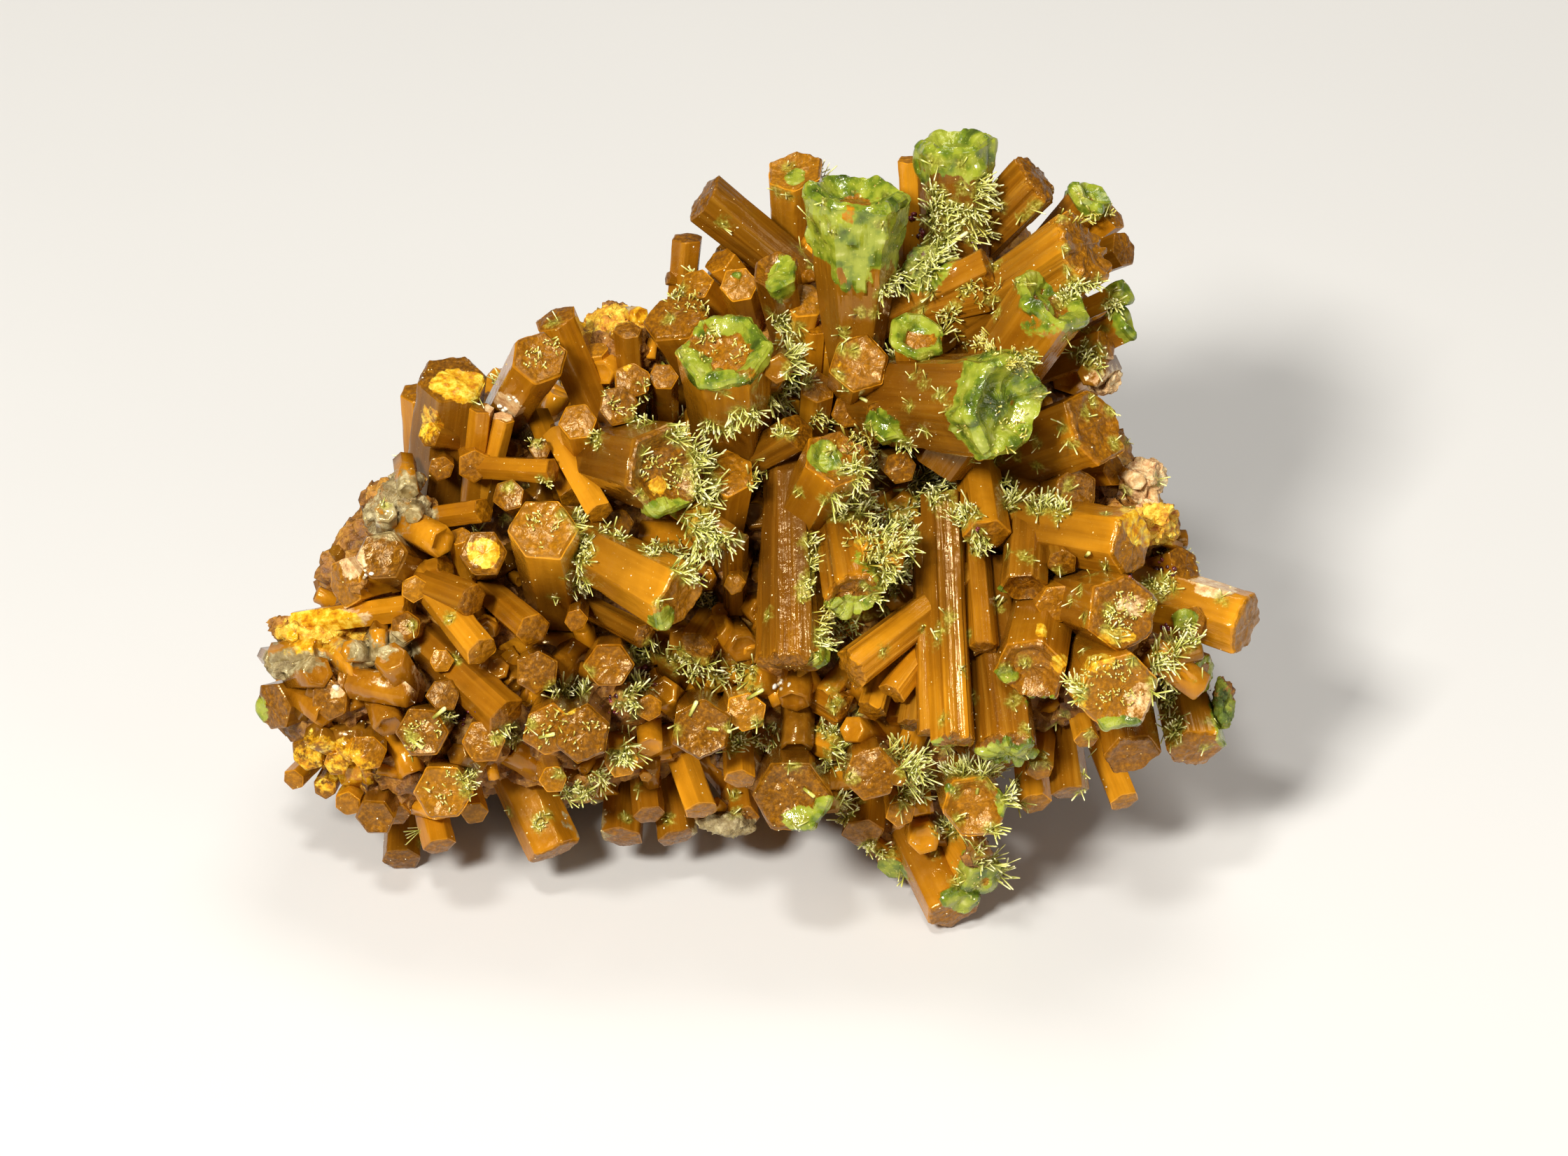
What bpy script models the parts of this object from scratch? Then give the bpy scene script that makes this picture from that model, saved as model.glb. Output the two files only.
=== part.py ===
"""A hand specimen of pyromorphite: stout hexagonal prisms radiating from a lump of gossan matrix.

The crystals and the matrix grew together, so they are one solid. Sizes are in millimetres in the
tables below and become metres when the solid is built. The specimen leans back on its matrix foot,
so its crystal face is described in a frame of its own: across to the right, up the face, and out
towards whoever looks at it square on.
"""

import math
import random

import bmesh
import bpy
from mathutils import Matrix, Vector

MM = 0.001

# How the specimen stands: the crystal face looks 37 degrees above the horizon.
FACE_ELEVATION = math.radians(37.0)
# How high up the face the table lies, where out is zero.
REST_UP = -16.55
# The tables are as read from this far in front of the places whose out is SHARP_OUT.
VIEW_DISTANCE = 300.0
SHARP_OUT = 6.5
# Middle of the ground it covers, across and back.
CENTRE_ACROSS = -1.275
CENTRE_BACK = 12.59

# Proportions that every prism shares.
CHAMFER = 0.10
CHAMFER_FROM = 1.40
RIM_WIDTH = 0.36
RIM_DEPTH = 0.34
PIT_DEPTH = 0.13
END_TILT = 0.12
SIDE_JITTER = 0.08
# A corner of the prism belongs to this ray when it lies this close to it, as a cosine.
SAME_CORNER = 0.95
# An axis closer than this to the face's upright takes its turn from across instead.
LEAST_LEAN = 0.2
FACE_SEED = 3

# Rows of crystals: middle of the end (across, up, out), radius there, radius at the root, length,
# (lean across, lean up) of the axis from root to end, turn in degrees, kind of end.
# With no turn a flat side looks up the face, or at the viewer where the crystal stands up it.
CROWN = (
    ((3.2, 17.2, 9.6), 2.45, 1.15, 9.0, (0.00, 0.88), 4, "rim"),
    ((7.6, 19.5, 6.0), 1.80, 1.50, 9.5, (0.00, 0.95), 2, "rim"),
    ((5.6, 18.7, 5.0), 0.55, 0.50, 6.0, (-0.05, 0.92), 20, "plain"),
    ((11.3, 17.9, 4.6), 1.55, 1.30, 8.5, (0.66, 0.66), 8, "flat"),
    ((13.7, 17.1, 2.6), 1.00, 0.85, 7.0, (0.58, 0.66), 20, "rim"),
    ((14.7, 16.2, 1.6), 0.80, 0.70, 6.0, (0.66, 0.52), 5, "plain"),
    ((13.5, 14.9, 8.2), 2.00, 1.60, 9.5, (0.76, 0.50), 4, "pitted"),
    ((9.2, 14.0, 7.4), 1.00, 0.90, 7.0, (0.85, 0.42), 22, "flat"),
    ((9.2, 12.6, 7.6), 0.75, 0.70, 6.0, (0.90, 0.20), 10, "plain"),
    ((12.0, 12.5, 9.6), 2.00, 1.70, 9.5, (0.52, 0.74), 6, "rim"),
    ((15.2, 12.8, 5.4), 0.55, 0.50, 6.0, (0.84, 0.38), 14, "plain"),
    ((15.3, 11.4, 5.0), 0.85, 0.75, 6.5, (0.82, 0.42), 22, "rim"),
    ((14.4, 10.4, 5.6), 0.75, 0.65, 5.5, (0.76, 0.28), 0, "plain"),
    ((15.2, 14.7, 2.6), 0.88, 0.75, 6.0, (0.72, 0.26), 9, "plain"),
    ((-3.6, 17.0, 2.6), 1.28, 1.10, 9.0, (-0.74, 0.58), 22, "flat"),
    ((0.5, 18.2, 1.2), 1.42, 1.20, 8.0, (-0.02, 0.68), 28, "pitted"),
    ((-4.3, 15.2, 2.0), 0.74, 0.65, 6.5, (0.10, 0.90), 12, "plain"),
    ((-2.9, 14.2, 2.8), 0.82, 0.70, 5.0, (-0.55, 0.62), 27, "plain"),
    ((-5.2, 13.4, 1.6), 0.34, 0.30, 4.0, (-0.85, 0.20), 5, "plain"),
    ((-4.0, 13.1, 4.6), 0.92, 0.80, 4.5, (-0.40, 0.40), 16, "flat"),
    ((-2.0, 13.1, 6.2), 0.92, 0.80, 5.0, (-0.10, 0.34), 11, "flat"),
    ((-0.4, 13.8, 8.0), 1.15, 0.95, 6.5, (-0.12, 0.52), 28, "rim"),
    ((0.9, 12.4, 6.4), 1.05, 0.90, 6.5, (0.16, 0.66), 3, "plain"),
    ((2.6, 12.2, 6.6), 0.80, 0.70, 6.0, (0.10, 0.78), 20, "plain"),
)

UPPER_FACE = (
    ((-2.6, 10.2, 11.0), 2.15, 1.70, 9.0, (-0.04, 0.58), 2, "rim"),
    ((9.9, 7.7, 13.0), 2.50, 1.95, 11.0, (0.60, -0.06), 12, "rim"),
    ((6.0, 10.8, 9.4), 1.22, 1.00, 7.0, (-0.05, 0.44), 24, "rim"),
    ((3.4, 9.6, 8.8), 1.42, 1.20, 7.0, (0.05, 0.26), 16, "pitted"),
    ((4.5, 7.1, 8.8), 1.05, 0.85, 6.5, (-0.22, 0.10), 19, "rim"),
    ((13.9, 6.8, 7.6), 1.90, 1.60, 9.5, (0.66, 0.22), 24, "pitted"),
    ((2.4, 5.4, 9.8), 1.62, 1.35, 8.5, (0.30, 0.52), 14, "rim"),
    ((0.7, 6.5, 8.2), 0.98, 0.80, 6.0, (0.62, 0.34), 18, "flat"),
    ((5.2, 4.9, 7.4), 0.80, 0.70, 5.5, (0.10, -0.12), 14, "plain"),
    ((9.0, 1.9, 7.6), 1.15, 1.00, 7.0, (0.08, -0.72), 6, "flat"),
    ((1.4, 11.2, 6.0), 0.62, 0.50, 5.5, (0.05, 0.80), 7, "plain"),
    ((1.5, 8.5, 6.8), 0.85, 0.75, 5.5, (0.06, 0.55), 26, "plain"),
    ((2.9, 7.4, 6.6), 0.80, 0.70, 5.0, (0.02, -0.10), 12, "plain"),
    ((-2.5, 4.7, 8.8), 1.30, 1.10, 7.0, (0.08, 0.52), 28, "flat"),
    ((-0.7, 9.0, 6.2), 0.80, 0.70, 5.0, (0.10, 0.50), 4, "plain"),
    ((13.0, 3.9, 6.6), 1.10, 0.95, 5.5, (0.40, 0.05), 28, "plain"),
)

LEFT_FACE = (
    ((-10.9, 9.8, 8.6), 1.34, 1.10, 7.5, (0.26, 0.34), 16, "pitted"),
    ((-10.2, 11.6, 6.2), 1.08, 0.95, 8.0, (-0.34, 0.82), 6, "flat"),
    ((-9.2, 7.0, 8.2), 0.94, 0.75, 6.5, (-0.06, 0.42), 8, "flat"),
    ((-7.4, 7.7, 8.6), 0.95, 0.80, 6.0, (0.08, 0.12), 14, "flat"),
    ((-6.8, 8.8, 8.2), 0.88, 0.75, 6.0, (0.04, 0.20), 26, "plain"),
    ((-7.0, 11.1, 6.4), 0.70, 0.60, 6.5, (-0.05, 0.76), 21, "plain"),
    ((-8.4, 10.2, 5.2), 0.60, 0.55, 5.0, (-0.10, 0.70), 3, "plain"),
    ((-4.9, 11.6, 6.2), 1.60, 1.35, 7.5, (-0.34, 0.60), 12, "flat"),
    ((-5.4, 9.0, 7.6), 0.68, 0.60, 5.5, (0.00, 0.34), 2, "plain"),
    ((-10.9, 5.8, 6.6), 0.52, 0.45, 4.0, (0.00, 0.16), 4, "plain"),
    ((-10.3, 4.8, 7.2), 0.62, 0.55, 4.5, (0.86, -0.05), 9, "plain"),
    ((-12.3, 3.7, 7.0), 0.78, 0.65, 5.0, (-0.25, 0.20), 18, "plain"),
    ((-8.2, 2.9, 8.0), 0.66, 0.60, 5.0, (0.42, -0.72), 14, "plain"),
    ((-9.4, 3.6, 5.4), 0.72, 0.65, 5.0, (0.34, -0.74), 2, "plain"),
    ((-10.8, 2.2, 10.2), 1.58, 1.45, 9.0, (-0.05, 0.38), 1, "pitted"),
    ((-5.3, 4.8, 11.0), 2.10, 1.60, 9.5, (0.46, -0.12), 20, "rim"),
    ((-4.7, -0.9, 10.4), 1.75, 1.20, 8.5, (0.74, -0.40), 12, "pitted"),
    ((-14.8, 8.9, 4.6), 1.75, 1.75, 8.5, (0.14, 0.80), 2, "flat"),
    ((-16.3, 8.3, 2.6), 0.95, 1.15, 7.0, (-0.06, 0.86), 20, "plain"),
    ((-15.9, 6.4, 5.6), 0.62, 0.55, 4.0, (-0.50, 0.10), 7, "plain"),
    ((-15.3, 4.9, 5.6), 0.62, 0.55, 4.0, (0.05, -0.20), 15, "plain"),
    ((-13.5, 7.6, 5.6), 0.60, 0.55, 5.0, (0.12, 0.84), 0, "plain"),
    ((-12.5, 7.2, 5.8), 0.52, 0.50, 5.0, (0.22, 0.78), 24, "plain"),
    ((-13.8, 5.0, 5.8), 0.80, 0.70, 4.5, (0.10, -0.20), 29, "plain"),
    ((-9.3, -1.9, 7.2), 0.55, 0.50, 4.5, (0.00, -0.18), 10, "plain"),
    ((-11.2, -2.3, 7.0), 0.85, 0.75, 5.0, (0.45, -0.35), 19, "plain"),
    ((-7.4, 2.4, 6.4), 0.75, 0.70, 4.5, (0.30, -0.20), 5, "plain"),
)

WEST_LOBE = (
    ((-18.0, 1.0, 7.0), 1.26, 1.05, 6.5, (-0.30, 0.16), 8, "pitted"),
    ((-19.6, -0.2, 4.8), 1.20, 1.00, 7.0, (-0.62, -0.14), 20, "flat"),
    ((-16.7, -1.3, 5.2), 0.72, 0.62, 6.0, (0.88, 0.12), 12, "plain"),
    ((-16.5, -0.5, 6.2), 0.62, 0.55, 4.0, (0.05, -0.05), 26, "plain"),
    ((-15.1, 0.5, 5.6), 0.62, 0.60, 4.5, (0.72, 0.20), 12, "plain"),
    ((-13.4, 1.1, 7.2), 1.12, 1.00, 6.0, (0.06, 0.08), 4, "flat"),
    ((-13.9, -1.0, 7.2), 0.84, 0.75, 5.0, (0.72, -0.26), 21, "flat"),
    ((-14.5, 1.9, 6.2), 0.55, 0.50, 4.5, (-0.05, 0.60), 17, "plain"),
    ((-13.4, 3.0, 6.0), 0.66, 0.60, 4.5, (0.80, 0.10), 7, "plain"),
    ((-16.9, -2.2, 5.8), 0.78, 0.70, 4.5, (-0.12, -0.02), 25, "rim"),
    ((-13.5, -3.3, 7.6), 0.86, 0.75, 5.5, (0.56, -0.66), 9, "flat"),
    ((-15.3, -3.7, 6.0), 0.56, 0.50, 4.0, (0.10, -0.10), 2, "plain"),
    ((-22.8, -5.8, 2.2), 1.20, 1.10, 6.5, (-0.62, -0.20), 4, "flat"),
    ((-20.3, -5.5, 4.2), 1.00, 0.90, 5.5, (-0.20, -0.12), 23, "flat"),
    ((-18.6, -7.8, 4.4), 0.86, 0.80, 5.0, (0.05, -0.20), 8, "flat"),
    ((-21.3, -7.9, 1.8), 0.84, 0.80, 5.0, (-0.35, -0.30), 20, "flat"),
    ((-20.0, -8.3, 2.4), 0.62, 0.55, 5.0, (-0.10, -0.30), 2, "plain"),
    ((-21.9, -9.0, 0.0), 0.56, 0.55, 5.0, (-0.35, -0.40), 13, "plain"),
    ((-20.5, -9.4, 0.6), 0.58, 0.55, 5.0, (-0.20, -0.45), 27, "plain"),
    ((-19.5, -10.1, 1.0), 0.66, 0.60, 5.0, (-0.15, -0.40), 18, "plain"),
    ((-18.2, -10.7, 2.4), 0.98, 0.85, 7.0, (-0.06, -0.34), 2, "pitted"),
    ((-17.4, -10.6, 0.4), 0.85, 0.75, 6.0, (0.12, -0.80), 5, "plain"),
    ((-17.1, -12.6, -3.4), 1.00, 0.90, 8.0, (-0.02, -0.85), 8, "flat"),
    ((-16.1, -6.9, 7.0), 1.26, 1.10, 7.0, (-0.06, -0.08), 1, "pitted"),
    ((-15.2, -5.2, 6.2), 0.80, 0.70, 5.0, (0.05, 0.10), 5, "plain"),
    ((-13.4, -7.3, 6.2), 1.02, 0.90, 6.0, (0.02, -0.10), 3, "flat"),
    ((-15.2, -9.6, 5.6), 1.38, 1.15, 7.5, (-0.02, -0.18), 1, "pitted"),
    ((-15.4, -12.0, 0.0), 0.82, 0.75, 6.5, (0.22, -0.84), 19, "flat"),
    ((-13.8, -10.5, 2.0), 0.66, 0.60, 5.0, (0.20, -0.60), 11, "plain"),
    ((-12.4, -6.2, 6.4), 1.02, 0.90, 6.0, (0.66, -0.58), 6, "flat"),
)

LOWER_FACE = (
    ((-11.0, -4.2, 7.4), 1.00, 0.90, 6.0, (0.05, -0.06), 28, "flat"),
    ((-7.8, -3.9, 8.6), 1.14, 0.95, 7.0, (0.02, -0.10), 1, "pitted"),
    ((-10.5, -6.8, 8.0), 1.28, 1.10, 7.0, (-0.02, -0.16), 20, "flat"),
    ((-9.0, -7.0, 8.1), 1.42, 1.15, 7.0, (-0.02, -0.16), 20, "flat"),
    ((-6.0, -5.8, 6.4), 0.64, 0.55, 4.5, (0.05, -0.10), 28, "plain"),
    ((-3.7, -6.8, 8.0), 1.42, 1.20, 7.5, (0.02, -0.14), 26, "pitted"),
    ((-1.7, -6.0, 7.2), 0.98, 0.85, 6.0, (0.08, -0.10), 21, "flat"),
    ((-7.3, -8.2, 5.6), 0.78, 0.65, 5.0, (0.05, -0.30), 11, "plain"),
    ((-10.3, -9.0, 5.2), 0.70, 0.60, 5.0, (0.10, -0.20), 5, "plain"),
    ((-10.3, -12.2, -0.4), 1.40, 1.30, 9.5, (0.42, -0.86), 5, "flat"),
    ((-7.3, -11.6, -0.8), 1.10, 1.00, 7.0, (-0.06, -0.88), 25, "flat"),
    ((-4.8, -11.6, -0.6), 0.98, 0.90, 7.0, (0.16, -0.88), 13, "flat"),
    ((-6.0, -10.6, 1.0), 0.80, 0.75, 6.0, (0.10, -0.80), 2, "plain"),
    ((-3.7, -10.4, 1.8), 0.85, 0.80, 6.0, (0.30, -0.80), 2, "plain"),
    ((-2.0, -9.0, 4.4), 0.76, 0.70, 6.0, (0.05, -0.78), 22, "plain"),
    ((-1.9, -10.8, -0.2), 0.85, 0.80, 6.0, (0.10, -0.70), 7, "plain"),
    ((0.35, -9.7, 7.4), 1.84, 1.50, 8.0, (0.00, -0.20), 2, "pitted"),
    ((3.9, -8.8, 7.6), 1.28, 1.10, 7.5, (0.04, -0.16), 14, "flat"),
    ((8.5, -10.2, 6.4), 1.62, 1.35, 8.5, (0.10, -0.28), 10, "rim"),
    ((5.2, -10.5, 4.4), 0.70, 0.60, 5.5, (0.05, -0.40), 19, "plain"),
    ((3.5, -11.4, 1.2), 1.05, 1.00, 6.5, (-0.10, -0.80), 5, "flat"),
    ((7.6, -14.8, 0.5), 1.50, 1.35, 8.5, (0.42, -0.82), 2, "flat"),
    ((8.9, -13.5, 1.4), 1.15, 1.00, 7.5, (0.44, -0.64), 27, "flat"),
    ((4.8, -12.9, -0.6), 0.78, 0.75, 5.5, (-0.10, -0.72), 16, "plain"),
)

STRIATED_FAN = (
    ((0.4, -3.9, 8.4), 1.72, 1.15, 9.5, (0.02, -0.96), 4, "flat"),
    ((3.2, -0.8, 9.4), 1.50, 1.25, 7.5, (0.12, -0.74), 12, "rim"),
    ((-2.2, 1.8, 7.6), 0.66, 0.60, 5.0, (0.00, 0.62), 5, "plain"),
    ((-2.2, -0.3, 7.2), 0.52, 0.45, 4.5, (-0.10, -0.30), 10, "plain"),
    ((2.9, -4.1, 8.0), 1.12, 0.90, 7.5, (-0.76, -0.58), 8, "flat"),
    ((4.8, -5.2, 7.6), 0.72, 0.60, 6.5, (-0.56, -0.72), 20, "plain"),
    ((5.6, -6.6, 7.0), 0.64, 0.55, 6.5, (-0.14, -0.90), 27, "plain"),
    ((3.9, -6.0, 6.2), 0.76, 0.65, 6.0, (-0.26, -0.84), 13, "plain"),
    ((7.6, -7.4, 8.8), 1.12, 1.05, 11.5, (0.04, -0.96), 0, "flat"),
    ((6.5, -7.0, 8.3), 0.58, 0.60, 10.0, (0.02, -0.96), 24, "plain"),
    ((10.0, -7.7, 8.0), 1.50, 1.25, 9.0, (0.10, -0.92), 4, "flat"),
    ((8.9, -3.2, 7.8), 0.78, 0.70, 7.0, (0.06, -0.90), 8, "plain"),
    ((-0.9, -2.1, 5.8), 0.75, 0.70, 4.5, (-0.30, -0.30), 18, "plain"),
    ((2.8, -6.0, 5.0), 0.95, 0.90, 6.0, (0.74, -0.44), 4, "plain"),
    ((2.6, -7.6, 4.4), 0.85, 0.80, 5.5, (0.78, -0.34), 9, "plain"),
    ((-4.0, -3.2, 6.0), 0.95, 0.90, 5.0, (-0.20, -0.30), 4, "plain"),
    ((-6.2, -2.6, 6.4), 0.70, 0.65, 4.5, (0.60, -0.30), 15, "plain"),
)

EAST_LOBE = (
    ((10.7, -0.4, 8.4), 1.15, 1.00, 7.5, (-0.08, -0.74), 4, "rim"),
    ((12.4, 0.7, 8.4), 0.74, 0.65, 5.5, (0.06, -0.50), 23, "plain"),
    ((15.5, 1.5, 8.8), 1.58, 1.35, 9.0, (0.80, -0.14), 16, "flat"),
    ((11.0, -4.1, 9.6), 1.74, 1.50, 8.5, (-0.14, -0.60), 9, "rim"),
    ((12.2, -1.2, 8.8), 0.95, 0.80, 6.5, (0.10, -0.20), 3, "plain"),
    ((14.9, -5.1, 12.2), 1.95, 1.50, 9.5, (0.14, -0.24), 13, "pitted"),
    ((15.2, -1.6, 11.6), 1.86, 1.45, 9.5, (0.34, -0.10), 21, "pitted"),
    ((20.6, -2.0, 6.0), 1.55, 1.35, 9.5, (0.90, -0.30), 8, "flat"),
    ((18.7, -4.2, 5.8), 0.95, 0.85, 7.0, (0.80, -0.34), 18, "flat"),
    ((18.4, -7.6, 5.0), 1.52, 1.35, 8.5, (0.16, -0.84), 3, "flat"),
    ((15.5, -7.9, 6.2), 1.38, 1.20, 7.5, (0.08, -0.78), 2, "pitted"),
    ((12.8, -9.6, 4.0), 0.92, 0.85, 7.5, (0.10, -0.90), 6, "flat"),
    ((13.5, -7.2, 6.2), 0.60, 0.55, 5.5, (0.12, -0.60), 2, "plain"),
    ((11.4, -8.6, 5.2), 0.66, 0.60, 5.5, (-0.10, -0.60), 15, "plain"),
    ((15.2, -10.0, 1.4), 0.74, 0.70, 7.0, (0.30, -0.80), 8, "plain"),
    ((11.2, -10.1, 1.2), 0.80, 0.75, 6.5, (0.05, -0.80), 7, "plain"),
    ((17.9, 0.6, 5.2), 1.00, 0.90, 6.5, (0.70, 0.20), 26, "plain"),
    ((18.2, -2.0, 7.4), 0.85, 0.75, 6.0, (0.50, -0.10), 12, "plain"),
    ((14.8, 4.8, 4.6), 0.80, 0.75, 5.5, (0.70, 0.05), 4, "plain"),
)

# Lumps of matrix: (across, up, out) of the middle, then half its size the same three ways.
MATRIX = (
    ((0.0, 1.6, -3.0), (14.5, 9.8, 8.0)),
    ((7.4, 9.4, -1.0), (7.0, 7.0, 6.6)),
    ((1.0, 10.6, -1.6), (5.6, 4.6, 5.4)),
    ((-14.4, -2.8, -2.2), (6.6, 8.0, 7.2)),
    ((-13.0, 4.8, -1.0), (4.0, 3.6, 4.4)),
    ((12.4, -1.2, -0.4), (6.2, 7.2, 7.2)),
    ((-9.0, -5.4, -2.0), (8.6, 5.0, 6.2)),
    ((3.6, -5.6, -1.2), (8.6, 5.0, 6.4)),
    ((6.0, -9.4, -2.6), (3.4, 3.8, 3.6)),
    ((-6.0, -0.8, -11.0), (9.6, 7.4, 6.2)),
    ((6.6, 0.2, -10.4), (8.6, 7.6, 6.6)),
    ((4.0, 7.6, -8.4), (6.8, 5.4, 5.0)),
    ((0.5, -2.6, -14.0), (7.0, 6.0, 4.4)),
    ((-19.4, -4.8, -0.2), (3.2, 3.8, 3.8)),
    ((-17.2, -8.6, -0.6), (3.0, 2.2, 3.2)),
)
MATRIX_POINTS = 22
MATRIX_ROUGHNESS = 0.17
MATRIX_SEED = 11

# Smaller knobs of quartz and crust that stand out of the matrix.
CRUSTS = (
    ((-17.3, 2.8, 4.6), (1.8, 1.5, 1.6)),
    ((-16.9, 4.3, 4.4), (0.9, 0.7, 1.0)),
    ((-21.0, -2.4, 2.2), (2.2, 1.1, 2.0)),
    ((-21.9, -3.8, 2.6), (1.3, 1.0, 1.4)),
    ((-18.0, -3.3, 3.4), (1.6, 1.0, 2.8)),
    ((-17.4, -4.7, 3.4), (1.6, 0.9, 2.8)),
    ((-18.9, -0.4, 4.8), (0.6, 0.5, 1.6)),
    ((-7.2, 10.2, 1.6), (2.4, 2.0, 4.4)),
    ((16.5, 2.4, 5.0), (1.5, 1.2, 2.2)),
    ((16.0, 4.4, 3.6), (1.1, 1.2, 2.0)),
    ((14.3, 8.9, 4.6), (0.9, 0.9, 1.4)),
    ((-2.6, -10.8, -0.8), (1.5, 0.9, 1.6)),
    ((19.6, -5.6, 4.4), (0.6, 1.3, 1.4)),
)
CRUST_POINTS = 16

# Tufts of needle crystals, low lumps that the needles fill: middle, radius.
TUFTS = (
    ((0.1, 9.6, 9.4), 1.00),
    ((-3.8, 3.0, 9.2), 1.10),
    ((5.6, -8.6, 7.0), 1.10),
    ((8.6, -12.4, 2.6), 1.10),
    ((4.6, 1.4, 8.6), 1.25),
    ((6.2, 13.9, 6.6), 1.60),
    ((-9.2, -9.5, 3.2), 1.20),
    ((16.7, -3.4, 8.0), 1.50),
    ((-7.1, -5.4, 6.6), 1.20),
)
TUFT_POINTS = 10
TUFT_SEED = 5

# What the specimen covers seen square on to its crystal face, as corners (across, up).
OUTLINE = (
    (-17.6, 5.2), (-16.4, 9.4), (-12.4, 10.7), (-10.6, 12.0), (-9.4, 12.0), (-8.6, 11.2),
    (-5.8, 12.5), (-4.9, 15.4), (-3.8, 15.5), (-4.0, 17.6), (-2.2, 17.8), (-0.4, 19.1),
    (1.2, 19.2), (5.2, 18.2), (6.2, 19.6), (8.6, 20.0), (9.4, 18.2), (12.1, 19.1),
    (14.4, 17.5), (16.0, 14.4), (15.8, 11.6), (14.9, 8.2), (15.2, 6.2), (17.1, 3.4),
    (21.6, -1.2), (21.3, -3.1), (19.8, -5.2), (19.2, -8.6), (15.9, -10.2), (10.3, -10.4),
    (9.6, -14.2), (6.9, -16.0), (3.8, -12.5), (-0.6, -11.5), (-7.5, -12.1), (-11.0, -13.3),
    (-13.6, -11.0), (-17.0, -13.4), (-18.9, -11.5), (-22.6, -8.8), (-24.0, -6.2),
    (-23.0, -2.0), (-20.8, 0.8),
)

# Crystals on the sides and back, which grow square to the matrix there.
BACK_SEED = 7
BACK_COUNT = 36
BACK_CENTRE = (0.0, 1.6, -5.0)
BACK_HALF = (16.0, 11.5, 10.5)
BACK_RADIUS = (0.95, 1.80)
BACK_TAPER = 0.88
BACK_LENGTH = 7.0
BACK_PROUD = (0.4, 2.6)
# They start a little in front of the middle and reach round to the back, on a unit ball.
BACK_FROM = 0.30
BACK_SPAN = 1.25
BACK_SCATTER = 0.22
BACK_SCATTER_REACH = 12.0
# None points down more steeply than this.
BACK_LOWEST = -0.75
GOLDEN_ANGLE = math.pi * (3.0 - math.sqrt(5.0))
FOOT_CLEARANCE = 2.6

TABLE_BLOCK = 120.0
# Corners closer than this are one, in metres.
WELD = 0.000005


def on_table(across, up, out):
    """A point of the crystal face's frame as metres in the standing specimen's own frame."""
    rise, level = math.sin(FACE_ELEVATION), math.cos(FACE_ELEVATION)
    climb = up - REST_UP
    back = climb * rise - out * level
    height = climb * level + out * rise
    return Vector((across - CENTRE_ACROSS, back - CENTRE_BACK, height)) * MM


def as_seen(across, up, out):
    """The point that looks to be at this place, since what is further off looks smaller."""
    shrink = (VIEW_DISTANCE + SHARP_OUT - out) / VIEW_DISTANCE
    return on_table(across * shrink, up * shrink, out)


def face_direction(across, up, out):
    return (on_table(across, up, out) - on_table(0.0, 0.0, 0.0)).normalized()


def crystal_axis(lean_across, lean_up):
    """The unit axis of a crystal, from how far it leans across and up the face."""
    out = math.sqrt(max(0.0, 1.0 - lean_across**2 - lean_up**2))
    return face_direction(lean_across, lean_up, out)


def clear_scene():
    for obj in list(bpy.data.objects):
        bpy.data.objects.remove(obj, do_unlink=True)


def helper_collection():
    """Prisms and lumps wait here until they are joined. It isn't part of the model."""
    helpers = bpy.data.collections.new("growth")
    bpy.context.scene.collection.children.link(helpers)
    helpers.hide_render = True
    return helpers


def link_mesh(name, bm, collection):
    bmesh.ops.recalc_face_normals(bm, faces=bm.faces)
    mesh = bpy.data.meshes.new(name)
    bm.to_mesh(mesh)
    bm.free()
    obj = bpy.data.objects.new(name, mesh)
    obj.display_type = "WIRE"
    collection.objects.link(obj)
    return obj


def axis_frame(tip, axis, turn):
    """A matrix that stands a prism on its root with its tip at this point."""
    upright = face_direction(0.0, 1.0, 0.0)
    side = upright - axis * upright.dot(axis)
    if side.length < LEAST_LEAN:
        side = Vector((1.0, 0.0, 0.0)) - axis * axis.x
    side.normalize()
    across = axis.cross(side)
    frame = Matrix((side, across, axis)).transposed().to_4x4()
    return Matrix.Translation(tip) @ frame @ Matrix.Rotation(math.radians(turn), 4, "Z")


def shape_end(bm, cap, radius, kind, rng):
    """Tilts the end face, chamfers the larger ones and sinks the middle of the hollow ones."""
    tilt = Vector((rng.uniform(-1.0, 1.0), rng.uniform(-1.0, 1.0))) * END_TILT
    for vert in cap.verts:
        vert.co.z += vert.co.xy.dot(tilt)
    if kind == "plain" or (kind == "flat" and radius < CHAMFER_FROM * MM):
        return
    bmesh.ops.inset_region(bm, faces=[cap], thickness=radius * CHAMFER, use_even_offset=True)
    bmesh.ops.translate(bm, verts=cap.verts, vec=(0.0, 0.0, radius * CHAMFER))
    if kind == "flat":
        return
    depth = RIM_DEPTH if kind == "rim" else PIT_DEPTH
    bmesh.ops.inset_region(bm, faces=[cap], thickness=radius * RIM_WIDTH, use_even_offset=True)
    bmesh.ops.translate(bm, verts=cap.verts, vec=(0.0, 0.0, -radius * depth))


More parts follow.
